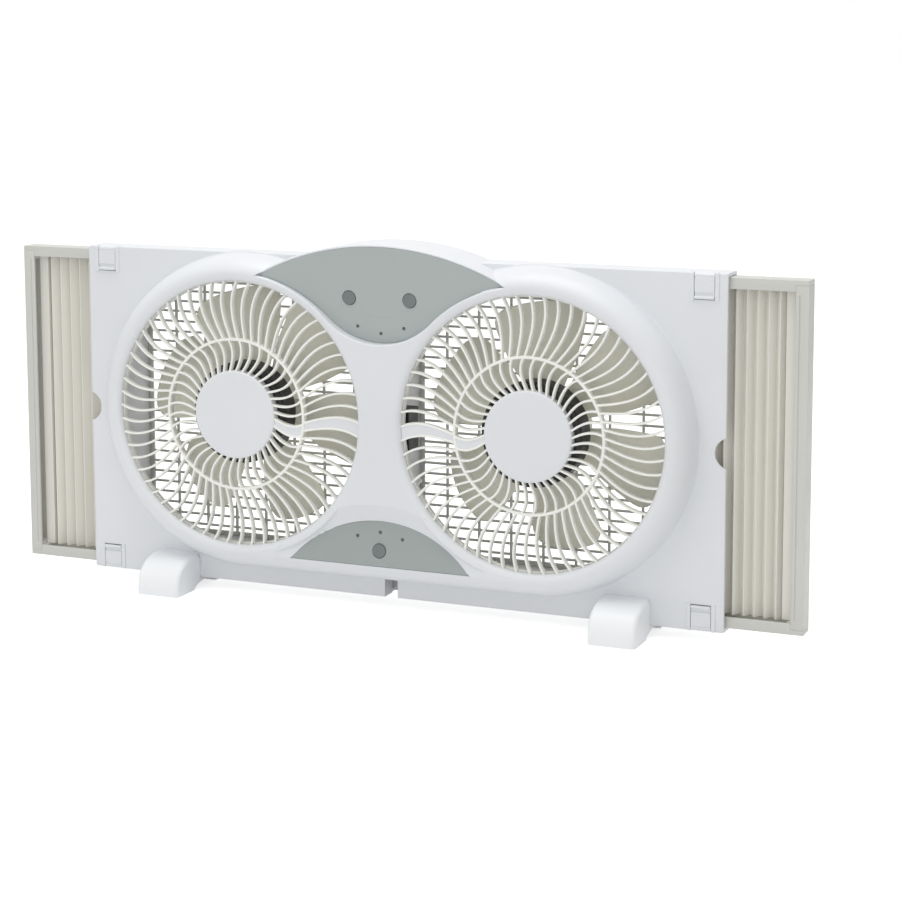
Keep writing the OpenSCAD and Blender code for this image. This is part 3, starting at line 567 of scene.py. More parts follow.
def pressed_black(name, colour, roughness=0.5):
    """Painted motor case and black fittings, with a little dust."""
    f = Finish(name, roughness)
    dust = f.spread(f.noise(60.0, 5.0, 0.65), 0.0, 0.22, 0.5, 0.75)
    f.give({"Base Color": f.mix(dust, scaled(colour, 1.0), DUST)})
    f.matt(f.noise(120.0, 3.0), roughness - 0.08, roughness + 0.1)
    f.bump(f.noise(800.0, 2.0), 0.00006)
    return f.material


def board_green(name, colour):
    """Lacquered board with a faint woven ground."""
    f = Finish(name, 0.32)
    f.tint(colour, f.noise(40.0, 2.0), 0.85, 1.15)
    weave = f.node("ShaderNodeTexChecker", {"Vector": f.place, "Scale": 900.0})
    f.bump(weave.outputs["Fac"], 0.00002)
    return f.material


def pleated_vinyl(name, colour):
    """Thin pleated sheet: lightly embossed, with painted shade deep in the folds."""
    f = Finish(name, 0.55, specular=0.35)
    y = f.node("ShaderNodeSeparateXYZ", {0: f.place}).outputs[1]
    # painted shade: the colour darkens towards the back of each fold, standing in for the shade in the folds
    fold_shade = f.spread(y, 0.0, 1.0, -0.002, 0.0105)
    streaks = f.noise(260.0, 3.0, at=f.stretched((1.0, 1.0, 0.02)))
    f.give({"Base Color": f.mix(fold_shade, f.mottled(colour, streaks, 0.975, 1.02), scaled(colour, 0.82))})
    f.matt(f.noise(90.0, 3.0), 0.5, 0.62)
    f.bump(f.noise(1500.0, 1.0), 0.00005)
    return f.material


def clear_lens(name, colour):
    """Small moulded lamp window, milky through its depth."""
    f = Finish(name, 0.12, ior=1.49)
    f.tint(colour, f.noise(900.0, 2.0), 0.94, 1.04)
    f.matt(f.noise(400.0, 1.0), 0.09, 0.16)
    f.bump(f.noise(1200.0, 1.0), 0.00001)
    f.give({"Subsurface Weight": 0.25, "Subsurface Scale": 0.001})
    return f.material


# ---- sizes and colours a user would change ---------------------------------------------
def colour(name, description, *rgb):
    return FloatVectorProperty(name=name, description=description, subtype="COLOR", size=3,
                               min=0.0, max=1.0, default=linear(*rgb))


def length(name, description, default, low, high):
    return FloatProperty(name=name, description=description, default=default * MM, min=low * MM,
                         max=high * MM, subtype="DISTANCE", unit="LENGTH", precision=5)


class WindowFanColours(bpy.types.PropertyGroup):
    shell: colour("Shell", "White of the housing, latches and feet", 231, 233, 236)
    grille: colour("Grilles", "Warm white of the front grilles", 249, 249, 243)
    frame: colour("Frames", "Cream of the filler frames and rear grilles", 210, 210, 204)
    pleat: colour("Pleats", "Warm white of the pleated panels", 250, 248, 239)
    panel: colour("Control panels", "Grey of both control panels", 176, 184, 182)
    button: colour("Buttons", "Darker grey of the push buttons", 116, 124, 124)
    blade: colour("Blades", "Beige grey of the fan blades", 246, 244, 229)


class WindowFanSizes(bpy.types.PropertyGroup):
    outer_ribs: IntProperty(name="Outer ribs", description="Ribs outside the middle ring",
                            default=60, min=48, max=66)
    inner_ribs: IntProperty(name="Inner ribs", description="Ribs inside the middle ring",
                            default=40, min=32, max=44)
    rib_width: length("Rib thickness", "Thickness of a rib across the air", 1.9, 1.6, 2.2)
    rib_depth: length("Rib depth", "Depth of a rib from front to back", 5.5, 4.5, 6.5)
    blades: IntProperty(name="Blades", description="Blades on each fan", default=6, min=4, max=6)
    blade_pitch: FloatProperty(name="Blade tilt", description="Tilt of the blades to the fan's plane",
                               default=math.radians(20), min=0.2, max=0.4, subtype="ANGLE",
                               unit="ROTATION")
    pleats: IntProperty(name="Pleats", description="Pleats in each filler panel",
                        default=8, min=6, max=9)


def power(name, description, default):
    return FloatProperty(name=name, description=description, default=default, min=0.0, max=200.0,
                         unit="POWER")


class WindowFanStage(bpy.types.PropertyGroup):
    key: power("Key light", "Large soft light from the front", 4.8)
    top: power("Top light", "Soft light from above", 17.0)
    fill: power("Fill light", "Weak soft light low in front", 5.0)
    ambient: FloatProperty(name="Ambient", description="Brightness of the room all round",
                           default=0.57, min=0.0, max=1.0, subtype="FACTOR")
    floor: colour("Floor", "Plain pale floor", 240, 240, 240)


def sizes():
    return bpy.context.scene.window_fan_sizes


def finish_of(name):
    """Each material is made once, the first time a piece asks for it."""
    if name in bpy.data.materials:
        return bpy.data.materials[name]
    c = bpy.context.scene.window_fan_colours
    recipes = {
        "shell_white": lambda: moulded(name, c.shell, 0.36),
        # painted light: the feet get a lighter copy of the shell's white, standing in for the light on them
        "foot_lit_white": lambda: moulded(name, linear(248, 250, 252), 0.36),
        "grille_white": lambda: moulded(name, c.grille, 0.40),
        "frame_cream": lambda: moulded(name, c.frame, 0.45),
        "panel_grey": lambda: moulded(name, c.panel, 0.42, grain=0.00006),
        # painted shade: the lower panel gets a darker copy of the panel grey, standing in for the shade it
        # sits in
        "low_panel_shaded_grey": lambda: moulded(name, [v * 0.84 for v in c.panel], 0.42, grain=0.00006),
        "button_grey": lambda: moulded(name, c.button, 0.46),
        "blade_beige": lambda: moulded(name, c.blade, 0.38, shift=0.03),
        "pleat_vinyl": lambda: pleated_vinyl(name, c.pleat),
        "case_black": lambda: pressed_black(name, linear(40, 40, 42)),
        "lead_black": lambda: moulded(name, linear(34, 34, 36), 0.5),
        "pad_rubber": lambda: moulded(name, linear(44, 44, 46), 0.75, shift=0.06, grain=0.00008),
        "bright_steel": lambda: turned_metal(name, linear(196, 198, 202)),
        "bush_bronze": lambda: turned_metal(name, linear(184, 142, 84), 0.36),
        "board_green": lambda: board_green(name, linear(38, 104, 62)),
        "lamp_dark": lambda: clear_lens(name, linear(84, 94, 92)),
    }
    return recipes[name]()


# ---- the white front shell ----------------------------------------------------------------
def cut_angle(r, cut_r):
    """Where a circle about the left fan leaves the hump's circle."""
    p = max(meet((-RING_X, RING_Z), r, HUMP_C, cut_r), key=lambda q: q[1])
    return angle_at((-RING_X, RING_Z), p) % 360


def body_side(r, h, n=72, band=16):
    """One line of the raised body's side: left fan, straight band, right fan."""
    left = arc((-RING_X, RING_Z), r, cut_angle(r, ROOF_R), 270, n)
    flat = [(-RING_X + 2 * RING_X * i / band, RING_Z - r) for i in range(1, band)]
    return [(x, z, h) for x, z in [*left, *flat, *mirrored(left)]]


def skirt(shape):
    """The raised body's side, a quarter ellipse with a small foot, and its inside."""
    rise, spread, wall = FACE_H - PLATE_H, SKIRT_W, 2.5
    turns = [math.radians(t) for t in (3.2, 7, 12, 18, 25, 33, 42, 51, 60, 69, 77, 84, 90)]
    outer = [(17.5, PLATE_H - 0.1), (16.44, PLATE_H + 0.44), (16, PLATE_H + 1.5)]
    outer += [(spread * math.cos(t), PLATE_H + rise * math.sin(t)) for t in turns]
    inner = [(15, PLATE_H - 2), (14.2, PLATE_H - 1.6), (13.6, PLATE_H - 1)]
    inner += [((spread - wall) * math.cos(t), PLATE_H + (rise - wall) * math.sin(t)) for t in turns]
    columns = [[body_side(CREST_R + x, h) for x, h in line] for line in (outer, inner)]
    front, back = ([[column[i] for column in side] for i in range(len(side[0]))] for side in columns)
    shape.thick(front, back)


def mouths(shape):
    """Both bell mouths: a rounded lip into a short tube, and the crest's outer edge."""
    lip = [(CREST_R - (CREST_R - TUBE_R) * s, FACE_H - 6 + 6 * c) for s, c in quarter(10)]
    tube = [(TUBE_R, 20.5), (117.8, 20), (119.7, 20), (120, 20.5), (121, 24), (RIM_R, 24)]
    edge = [polar((CREST_R, FACE_H - 2), 2, a) for a in (0, 22, 45, 68)]
    for side in (-1, 1):
        shape.turned([*lip, *tube, *edge], (side * RING_X, RING_Z), 180)


def hump(shape):
    """The arched roof that closes the raised body above the upper panel."""
    def section(a):
        top = top_plane(polar(HUMP_C, 242, a)[1])
        line = [(HUMP_R, SEAM_H), (HUMP_R, top - 1.1), (242.75, top - 0.5), (242.3, top - 0.12),
                (ROOF_R, top), (241.3, top - 0.1), (241.15, top - 0.5), (240.5, top - 1.2), (240.5, SEAM_H)]
        return [(*polar(HUMP_C, r, a), h) for r, h in line]
    half = math.degrees(math.asin(119.0 / HUMP_R))
    shape.loft([section(90 + half - 2 * half * i / 72) for i in range(73)])


def hollow_end():
    """Where the hollow's circle comes nearest to the left fan."""
    u = Vector((-RING_X - HOLLOW_C[0], RING_Z - HOLLOW_C[1])).normalized()
    return (HOLLOW_C[0] + HOLLOW_R * u.x, HOLLOW_C[1] + HOLLOW_R * u.y)


def waist_face(shape, columns=28, rows=44):
    """The flat face between the fans, from the lower slope up to the hollow."""
    low = max(meet((-RING_X, RING_Z), CREST_R - 0.1, HILL_C, HILL_FOOT), key=lambda q: q[0])
    high = hollow_end()
    face = []
    for i in range(rows + 1):
        v = i / rows
        z_end = low[1] + v * (high[1] - low[1])
        x_end = RING_X - math.sqrt((CREST_R - 0.1) ** 2 - (z_end - RING_Z) ** 2)
        row = []
        for k in range(columns + 1):
            s = 2 * k / columns - 1
            hill = HILL_C[1] + math.sqrt(HILL_FOOT ** 2 - (s * low[0]) ** 2) - low[1]
            hollow = HOLLOW_C[1] - math.sqrt(HOLLOW_R ** 2 - (s * high[0]) ** 2) - high[1]
            row.append((s * x_end, z_end + (1 - v) * hill + v * hollow, FACE_H))
        face.append(row)
    shape.sheet(face, 2.0)


def hollow_edge(shape):
    """The face's rounded edge over the hollow and the wall below it."""
    a0 = angle_at(HOLLOW_C, hollow_end()) % 360
    line = [(HOLLOW_R + 1.2, -0.02), *((HOLLOW_R - 2 * s, -2 * (1 - c)) for s, c in quarter(6))]
    rows = []
    for i in range(45):
        a = a0 + (540 - 2 * a0) * i / 44
        foot = top_plane(polar(HOLLOW_C, HOLLOW_R, a)[1]) - 3.0
        section = [(r, FACE_H + h) for r, h in line]
        section += [(HOLLOW_R - 2, foot), (HOLLOW_R - 0.2, foot), (HOLLOW_R + 1.2, FACE_H - 2.5)]
        rows.append([(*polar(HOLLOW_C, r, a), h) for r, h in section])
    shape.loft(rows)


def lower_slope(shape):
    """The slope round the lower panel, between the two fans' tubes."""
    foot_h, inner = 28.6, HILL_R + 0.2
    columns = []
    for i in range(81):
        x = -103.5 + 207 * i / 80
        z0 = max(BAND_Z - 0.1, HILL_C[1] + math.sqrt(inner ** 2 - x * x) if abs(x) < HILL_R else 0.0)
        z1 = HILL_C[1] + math.sqrt(HILL_FOOT ** 2 - x * x)
        if abs(x) > 30:
            z1 = min(z1, RING_Z - math.sqrt(121.0 ** 2 - (abs(x) - RING_X) ** 2))
        z1 = max(z0 + 0.3, z1)
        column = []
        for k in range(9):
            z = z0 + (z1 - z0) * k / 8
            r = math.dist((x, z), HILL_C)
            cone = foot_h + (FACE_H - foot_h) * (r - HILL_R - 0.2) / (HILL_FOOT - HILL_R - 0.2)
            flat = low_plane(z)
            blend = math.sqrt((cone - flat) ** 2 + 0.6)
            column.append((x, z, min(0.5 * (cone + flat + blend), FACE_H - 0.02)))
        columns.append(column)
    shape.sheet(columns, 2.2)


def band_corners(shape):
    """Flat corners where the crests run into the straight band below the panel."""
    for side in (-1, 1):
        crest = [polar((side * RING_X, RING_Z), CREST_R - 0.1, 270 - side * t)
                 for t in (0, 4, 8, 12, 16, 18.2)]
        shape.slab([(side * RING_X, BAND_Z - 0.6), *crest, (side * 98.6, BAND_Z - 0.6)],
                   FACE_H - 1.5, FACE_H - 0.01, 0)


def plate_outline():
    """The flat plate with its hump, latch cut-outs, finger grips and notch."""
    half, low, high, r, fold_shade = HALF_W, LOW_Z, TOP_Z, 2.0, 22
    inner, outer = LATCH_X - 8.8, LATCH_X + 8.8
    grip_r, notch = 13.5, (6, 26)
    bite = math.degrees(math.acos(4 / grip_r))
    right = [(notch[0], low), (inner, low), (inner, low + fold_shade), (outer, low + fold_shade), (outer, low)]
    right += arc((half - r, low + r), r, -90, 0, 4)
    right += arc((half + 4, MID_Z + 1), grip_r, 180 + bite, 180 - bite, 14)
    right += arc((half - r, high - r), r, 0, 90, 4)
    right += [(outer, high), (outer, high - fold_shade), (inner, high - fold_shade), (inner, high)]
    return [(-notch[0], notch[1]), notch, *right, *hump_arc(RIM_TOP_R), *mirrored(right)]


def hump_arc(r):
    """The hump's arc over the straight upper edge, right to left."""
    start = angle_at(HUMP_C, (math.sqrt(r ** 2 - (TOP_Z - HUMP_C[1]) ** 2), TOP_Z))
    return arc(HUMP_C, r, start, 180 - start, 60)


def latch_corners(shape, side):
    """The floor and the two cheeks of the upper and the lower latch on one side."""
    for z0, z1 in ((TOP_Z - 23, TOP_Z - 5.2), (LOW_Z + 5.2, LOW_Z + 23)):
        shape.block(*side_span(side, LATCH_X - 9.3, LATCH_X + 9.3), z0, z1, 4.4, 6.1, 0.1)
    for x in (-10.6, 10.6):
        mid = side * LATCH_X + x
        for z0, z1 in ((TOP_Z - 23.4, TOP_Z), (LOW_Z, LOW_Z + 23.4)):
            shape.block(mid - 1.8, mid + 1.8, z0 + 0.02, z1 - 0.02, 3.8, PLATE_H + 1.2, 0.7, 0.9)


def plate(shape):
    """The front plate with its edge walls, latch corners and screw posts."""
    holes = [arc((side * RING_X, RING_Z), 131, 0, 352, 88) for side in (-1, 1)]
    shape.slab(plate_outline(), 5.5, PLATE_H, 0.9, holes, 4)
    edge, behind = HALF_W - 0.02, 6.3
    for side in (-1, 1):
        shape.block(*side_span(side, 80.5, edge), TOP_Z - 3, TOP_Z - 0.02, SEAM_H, behind, 0.2)
        shape.block(*side_span(side, 7.5, edge), LOW_Z + 0.02, LOW_Z + 3, SEAM_H, behind, 0.2)
        shape.block(*side_span(side, 6, 7.5), LOW_Z + 0.04, 27.5, -8, 6.2, 0.1)
        shape.block(*side_span(side, POCKET_X - 2.5, POCKET_X), 23.7, 294.3, SEAM_H, 6, 0.2)
        latch_corners(shape, side)
    shape.block(-7.5, 7.5, 26, 27.5, -8, 6.2, 0.1)
    posts = [(side * x, z) for x, heights in ((262, (40, 278)), (60, (20,)), (14, (110, 225)))
             for side in (-1, 1) for z in heights]
    for x, z in posts:
        top = FACE_H - 1.2 if abs(x) < 30 else PLATE_H - 1.2
        shape.turned([(1.5, SEAM_H), (4, SEAM_H), (4, top), (0, top), (0, -8.5), (1.5, -8.5)], (x, z), 24)


def rear_shell(shape):
    """The flat back with its hump and square openings, and the box behind it."""
    def openings(r):
        return [box_outline(*side_span(side, 3, 273.5), 35.5, 292.5, r) for side in (-1, 1)]
    x, r = HALF_W - 1.5, 1.5
    low, high = LOW_Z + r, TOP_Z - r
    outline = [*arc((x, low), r, -90, 0, 3), *arc((x, high), r, 0, 90, 3), *hump_arc(HUMP_R),
               *arc((-x, high), r, 90, 180, 3), *arc((-x, low), r, 180, 270, 3)]
    gland = hole((150.0, 21.5), 5.0)
    shape.slab(outline, BACK_H, SEAM_H, 0.2, [*openings(2.0), gland], 2, back_edge=0.6)
    shape.slab(box_outline(-276, 276, 33, 295, 2.5), -52, BACK_H + 0.5, 0.2, openings(1.0), 2, back_edge=0.7)


class WINDOWFAN_OT_shell(bpy.types.Operator):
    """Front shell: plate, both bell mouths, raised side, waist and hump; and the back"""
    bl_idname = "window_fan.shell"
    bl_label = "Shell"

    def execute(self, context):
        front = (plate, skirt, mouths, hump, waist_face, hollow_edge, lower_slope, band_corners)
        for name, node, parts in (("shell_front", "front_bezel", front),
                                  ("shell_rear", "rear_housing", (rear_shell,))):
            shape = Shape()
            for part in parts:
                part(shape)
            piece(name, shape, "shell_white", "housing", [node], 35)
        return {"FINISHED"}


# ---- control panels, buttons and lamps ---------------------------------------------------
BUTTONS = {"left_speed_button": (-28.2, 275.5), "right_speed_button": (28.2, 275.5),
           "power_button": (0.0, 57.0)}
LAMPS = {"top": ((-21.6, 251.0), (0.0, 245.5), (21.6, 251.0)),
         "bottom": ((-21.2, 68.5), (0.0, 73.0), (21.2, 68.5))}


def panel_height(z):
    return top_plane(z) if z > MID_Z else low_plane(z)


def top_panel():
    """Grey panel under the hump: two rims, a hollow and the hump's arc bound it."""
    rim, hollow, arch = RIM_R + 0.25, HOLLOW_R - 2.22, 241.0
    u = math.degrees(math.atan2(RING_Z - HOLLOW_C[1], -RING_X))
    corner = max(meet((RING_X, RING_Z), rim, HUMP_C, arch), key=lambda q: q[1])
    bottom = arc(HOLLOW_C, hollow, u % 360, 540 - u % 360, 40)
    right = arc((RING_X, RING_Z), rim, (u + 180 - 2 * (u + 90)) % 360,
                angle_at((RING_X, RING_Z), corner) % 360, 24)[1:]
    start = angle_at(HUMP_C, corner)
    top = arc(HUMP_C, arch, start, 180 - start, 60)[1:-1]
    return [*bottom, *right, *top, *mirrored(right)]


def groove_line(shape):
    """A fine raised line, thinning to both ends, under the two upper buttons."""
    rows = []
    for i in range(25):
        t = i / 12 - 1
        x, z = 16.5 * t, 260 + 4 * t * t
        w = 0.42 * (1 - 0.75 * abs(t) ** 3)
        h = top_plane(z)
        rows.append([(x, z - w, h - 0.3), (x, z - w, h + 0.05), (x, z, h + 0.2), (x, z + w, h + 0.05),
                     (x, z + w, h - 0.3)])
    shape.loft(rows)


def bottom_panel():
    base = BAND_Z + 0.2
    a = math.degrees(math.asin((base - HILL_C[1]) / HILL_R))
    return arc(HILL_C, HILL_R, a, 180 - a, 48)


def panel_piece(name, outline):
    """A grey panel with holes for its buttons and lamps, sloped as its own plane."""
    buttons = [p for p in BUTTONS.values() if (p[1] > MID_Z) == (name == "top")]
    holes = [hole(p, 6.45, 48) for p in buttons] + [hole(p, 1.5, 20) for p in LAMPS[name]]
    shape = Shape()
    shape.slab(outline, -2.1, 0.0, 0.35, holes, 3, lambda x, z: panel_height(z))
    if name == "top":
        groove_line(shape)
    # painted shade on the lower panel: a darker copy of the same grey
    finish = "panel_grey" if name == "top" else "low_panel_shaded_grey"
    piece(name + "_panel", shape, finish, "housing", [name + "_control_panel"], 40)


def lamp_piece(name):
    """Three small lamp windows, a touch below the panel."""
    shape = Shape()
    for x, z in LAMPS[name]:
        h = panel_height(z)
        shape.turned([(0, h - 5), (1.42, h - 5), (1.42, h - 0.25), (1.2, h - 0.1), (0.7, h),
                      (0, h + 0.05)], (x, z), 24)
    piece(name + "_lamps", shape, "lamp_dark", "housing", [name + "_lamp_lenses"])


def button_piece(name, x, z):
    """A dished button with a rounded edge, a collar behind the panel and a stem."""
    h = panel_height(z)
    collar = [(0, h - 9), (2.5, h - 9), (2.5, h - 4), (7, h - 4), (7, h - 2.4), (6.15, h - 2.2)]
    edge = [(6.15, h - 0.1), (6.05, h + 0.25), (5.8, h + 0.47), (5.4, h + 0.53)]
    dish = [(r, h + 0.5 - 0.5 * (1 - (r / 5.2) ** 2)) for r in (5.0, 4.0, 2.8, 1.4, 0)]
    shape = Shape()
    shape.turned([*collar, *edge, *dish], (x, z), 48)
    piece(name + "_cap", shape, "button_grey", name, [name])


class WINDOWFAN_OT_controls(bpy.types.Operator):
    """Grey control panels with their push buttons and lamp windows"""
    bl_idname = "window_fan.controls"
    bl_label = "Controls"

    def execute(self, context):
        for name, outline in (("top", top_panel()), ("bottom", bottom_panel())):
            panel_piece(name, outline)
            lamp_piece(name)
        for name, (x, z) in BUTTONS.items():
            button_piece(name, x, z)
        return {"FINISHED"}


# ---- grilles ------------------------------------------------------------------------------
def dome_height(r):
    """Height of a grille's shallow dome at a radius."""
    return FACE_H - 4.5 + 4.6 * (1 - ((r - CAP_R) / (TUBE_R - CAP_R)) ** 2)


OUTER_ROUND = {"inner_radius": 0.0660, "outer_radius": 0.11745, "crown_angle": 2.0,
               "crown_radius": 0.097, "sweep": -5.05, "segments": 15}
INNER_ROUND = {"inner_radius": 0.0378, "outer_radius": 0.0669, "crown_angle": 1.9,
               "crown_radius": 0.054, "sweep": 5.54, "segments": 9}


def outer_turn(r):
    """How far an outer rib has turned about the shaft at a radius, in degrees."""
    return 2.0 - 4.9 * ((r - 97.0) / (SPLIT_R - 97.0)) ** 2


def inner_turn(r):
    """The same for an inner rib."""
    return 1.9 + 5.54 * ((r - 54.0) / (37.8 - 54.0)) ** 2


def channel(shape, side, r0, r1, turn, a0, a1):
    """The closed front of the wire channel, set back between two ribs."""
    rows = []
    for i in range(13):
        r = r0 + (r1 - r0) * i / 12
        row = []
        for k in range(9):
            a = a0 + turn(r) + (a1 - a0) * k / 8
            row.append((*polar((side * RING_X, RING_Z), r, a if side < 0 else 180 - a),
                        dome_height(r) - 0.95 + 0.3 * (abs(k - 4) / 4) ** 2))
        rows.append(row)
    shape.sheet(rows, 0.7)


def grille_rings(shape, at):
    """The ring between both rounds of ribs, and the seat ring down in the tube."""
    mid, rim = dome_height(SPLIT_R), dome_height(TUBE_R)
    shape.turned([(65.2, mid - 6.5), (67.8, mid - 6.5), (67.8, mid - 0.6), (67.5, mid - 0.05),
                  (66.9, mid + 0.2), (66.1, mid + 0.2), (65.5, mid - 0.05), (65.2, mid - 0.6)], at, 144)
    shape.turned([(116.4, rim - 7.5), (TUBE_R, rim - 7.5), (TUBE_R, rim - 3.6), (117.2, rim - 3.2),
                  (116.7, rim - 3.2), (116.4, rim - 3.6)], at, 144)


def grille_cap(shape, at):
    """The wide cap, slightly domed, round-edged and hollow behind."""
    dome = [(r, CAP_H - 1.05 * (r / CAP_R) ** 2) for r in (0, 6, 12, 18, 24, 29, 33, 36)]
    edge = [(37.2, CAP_H - 1.05), (38.1, CAP_H - 1.35), (38.7, CAP_H - 1.85), (CAP_R, CAP_H - 2.6)]
    wall = [(CAP_R, FACE_H - 7), (36.5, FACE_H - 7), (36.5, CAP_H - 3.7)]
    under = [(r, CAP_H - 2.5 - 1.0 * (r / CAP_R) ** 2) for r in (24, 12, 0)]
    shape.turned([*dome, *edge, *wall, *under], at, 144)


def motor_posts(shape, side, at):
    """Three hollow posts behind the cap that take the motor's screws."""
    foot, top = FACE_H - 7, CAP_H - 2.4
    for a in (30, 150, 270):
        shape.turned([(1.25, foot), (4, foot), (4, top), (0, top), (0, foot + 6), (1.25, foot + 6)],
                     polar(at, 26, a if side < 0 else 180 - a), 24)


class WINDOWFAN_OT_front_grilles(bpy.types.Operator):
    """Both front grilles: two rounds of bowed ribs, rings, cap and wire channel"""
    bl_idname = "window_fan.front_grilles"
    bl_label = "Front grilles"

    def execute(self, context):
        s, tree = sizes(), rib_tree()
        for word, side in SIDES:
            node, at = word + "_front_grille", (side * RING_X, RING_Z)
            common = {"hand": float(-side), "thickness": s.rib_width, "depth": s.rib_depth,
                      "centre": (side * RING_X * MM, 0.0, RING_Z * MM)}
            outer = tree.grow("ribs", ribs=s.outer_ribs, **OUTER_ROUND, **common)
            inner = tree.grow("ribs", ribs=s.inner_ribs, **INNER_ROUND, **common)
            shape, cap, web = Shape(), Shape(), Shape()
            grille_rings(shape, at)
            grille_cap(cap, at)
            piece(word + "_cap", cap, "shell_white", "housing", [node])
            channel(web, side, 67.0, 117.3, outer_turn, -6, 0)
            channel(web, side, 38.6, 66.2, inner_turn, -18, -9)
            piece(word + "_channel", web, "shell_white", "housing", [node])
            motor_posts(shape, side, at)
            piece(word + "_grille_front", shape.mesh("grille", (outer, inner)), "grille_white",
                  "housing", [node], 38)
        return {"FINISHED"}


class WINDOWFAN_OT_rear_grilles(bpy.types.Operator):
    """Both rear grilles: a frame, level bars and upright bars behind them"""
    bl_idname = "window_fan.rear_grilles"
    bl_label = "Rear grilles"

    def execute(self, context):
        tree = row_tree()
        z0, z1, back, front = 35.7, 292.3, -52, -49
        level_step, upright_step = 9.5, 30.25
        for word, side in SIDES:
            lo, hi = side_span(side, 3.2, 273.3)
            level, upright, rim = Shape(), Shape(), Shape()
            level.slab(box_outline(lo + 3, hi - 3, 43.0, 45.0), back, front, 0.45, back_edge=0.6, steps=2)
            x = side * upright_step
            upright.slab(box_outline(x - 1, x + 1, z0 + 2, z1 - 2), -49.3, -46.5, 0.5, back_edge=0.3, steps=2)
            level = tree.grow("level_bars", level.mesh("bar"), copies=26,
                              step=(0.0, 0.0, level_step * MM))
            upright = tree.grow("upright_bars", upright.mesh("bar"), copies=8,
                                step=(side * upright_step * MM, 0.0, 0.0))
            opening = box_outline(lo + 4, hi - 4, z0 + 4, z1 - 4, 1.5)
            rim.slab(box_outline(lo, hi, z0, z1, 1.0), back, front, 0.5, [opening], 3, back_edge=0.5)
            piece(word + "_grille_rear", rim.mesh("grille", (level, upright)), "frame_cream",
                  "housing", [word + "_rear_grille"])
        return {"FINISHED"}


# ---- fans --------------------------------------------------------------------------------
def blade_mesh(pitch):
    """One cambered paddle tilted about its own radius, its edges thinned."""
    camber, mid, thick = 110.0, -19.0, 1.8
    root, shoulder, tip = 31.5, 100.0, 107.0
    widths = ((root, 24.0), (60.0, 25.5), (96.0, 22.5), (shoulder, 21.5))

    def half_angle(r):
        if r > shoulder:
            turn = math.degrees(math.asin(min((r - shoulder) / (tip - shoulder), 1.0)))
            return 21.5 - 7.0 * turn / 90
        (r0, a0), (r1, a1) = next((a, b) for a, b in zip(widths, widths[1:]) if r <= b[0])
        return a0 + (a1 - a0) * (r - r0) / (r1 - r0)

    def height(y):
        return mid + math.sqrt(camber ** 2 - (y - camber * math.sin(pitch)) ** 2) - camber * math.cos(pitch)

    radii = [root + (shoulder - root) * i / 12 for i in range(13)]
    radii += [shoulder + (tip - shoulder) * math.sin(math.radians(a)) for a in (18, 36, 52, 66, 78, 90)]
    spots = [-1, -0.985, -0.95, *(-0.88 + 0.16 * i for i in range(12)), 0.95, 0.985, 1]
    front, back = [], []
    for r in radii:
        line, rim = [], min(max((tip - r) / 0.9, 0.0), 1.0)
        for v in spots:
            t = thick * (0.45 + 0.55 * min(rim, (1 - abs(v)) / 0.05) ** 0.5)
            line.append((*polar((0, 0), r, half_angle(r) * v), t))
        front.append([(x, y, height(y) - 0.5 * (thick - t)) for x, y, t in line])
        back.append([(x, y, height(y) - 0.5 * (thick + t)) for x, y, t in line])
    shape = Shape()
    shape.thick(front, back)
    bmesh.ops.scale(shape.bm, vec=(MM, MM, MM), verts=shape.bm.verts)
    return as_mesh(shape.bm, "blade")


def hub(shape, at):
    """The bell-shaped hub with its bush, open behind."""
    bell = [(10, -6.0), (24, -6.0), (28, -6.3), (31, -7.4), (32.5, -9.2), (33, -11.5)]
    skirt_end = [(33, -33.6), (32.6, -34), (30.9, -34), (30.5, -33.6)]
    inside = [(30.5, -10.5), (9.4, -10), (9, -10.4), (9, -29.6), (8.6, -30), (4, -30)]
    shape.turned([(4, -6.4), *bell, *skirt_end, *inside], at, 96)


class WINDOWFAN_OT_fans(bpy.types.Operator):
    """Both fans: cambered paddles round a hollow hub"""
    bl_idname = "window_fan.fans"
    bl_label = "Fans"

    def execute(self, context):
        tree, s = round_tree(), sizes()
        for (word, side), phase in zip(SIDES, (48.0, 37.5)):
            blades = tree.grow("blades", blade_mesh(s.blade_pitch), copies=s.blades, phase=phase,
                               centre=(side * RING_X * MM, 0.0, RING_Z * MM))
            shape = Shape()
            hub(shape, (side * RING_X, RING_Z))
            piece(word + "_blades", shape.mesh("fan", (blades,)), "blade_beige",
                  word + "_rotor", [word + "_fan"], 40)
        return {"FINISHED"}


# ---- filler panels -----------------------------------------------------------------------
OUT = {"left": 73.0, "right": 65.5}


def pleat_section(x_end, pleats):
    """Plan of the folded sheet: rounded folds, then a flat board beside the stile."""
    xa, y0, depth, sheet = POCKET_X, 2.6, 8.6, 0.9
    xf = x_end - 9.0
    p = (xf - xa) / pleats
    lean = 2 * depth / p
    ty = sheet * math.sqrt(1 + lean * lean)

    def line(offset, cut):
        points = []
        for i in range(2 * pleats + 1):
            x, y = xa + p * i / 2, y0 + (depth if i % 2 == 0 else 0) + offset
            if i in (0, 2 * pleats):
                points.append((x, y))
                continue
            down = 1 if i % 2 == 0 else -1
            dx = cut[0] if down > 0 else cut[1]
            for t in (-1.0, -0.6, -0.25, 0.25, 0.6, 1.0):
                fall = dx * lean * (0.5 + 0.5 * t * t)
                points.append((x + dx * t, y - down * fall))
        return points
    front = line(0.0, (0.30, 0.62))
    back = line(ty, (0.62, 0.30))
    board = [(xf, y0 + 3.2), (x_end - 0.2, y0 + 3.2), (x_end, y0 + 3.4), (x_end, y0 + 4.2),
             (x_end - 0.2, y0 + 4.4), (xf + 1, y0 + 4.4), (xf + 1, y0 + depth + ty)]
    return [*front, *board, *reversed(back[:-1])]


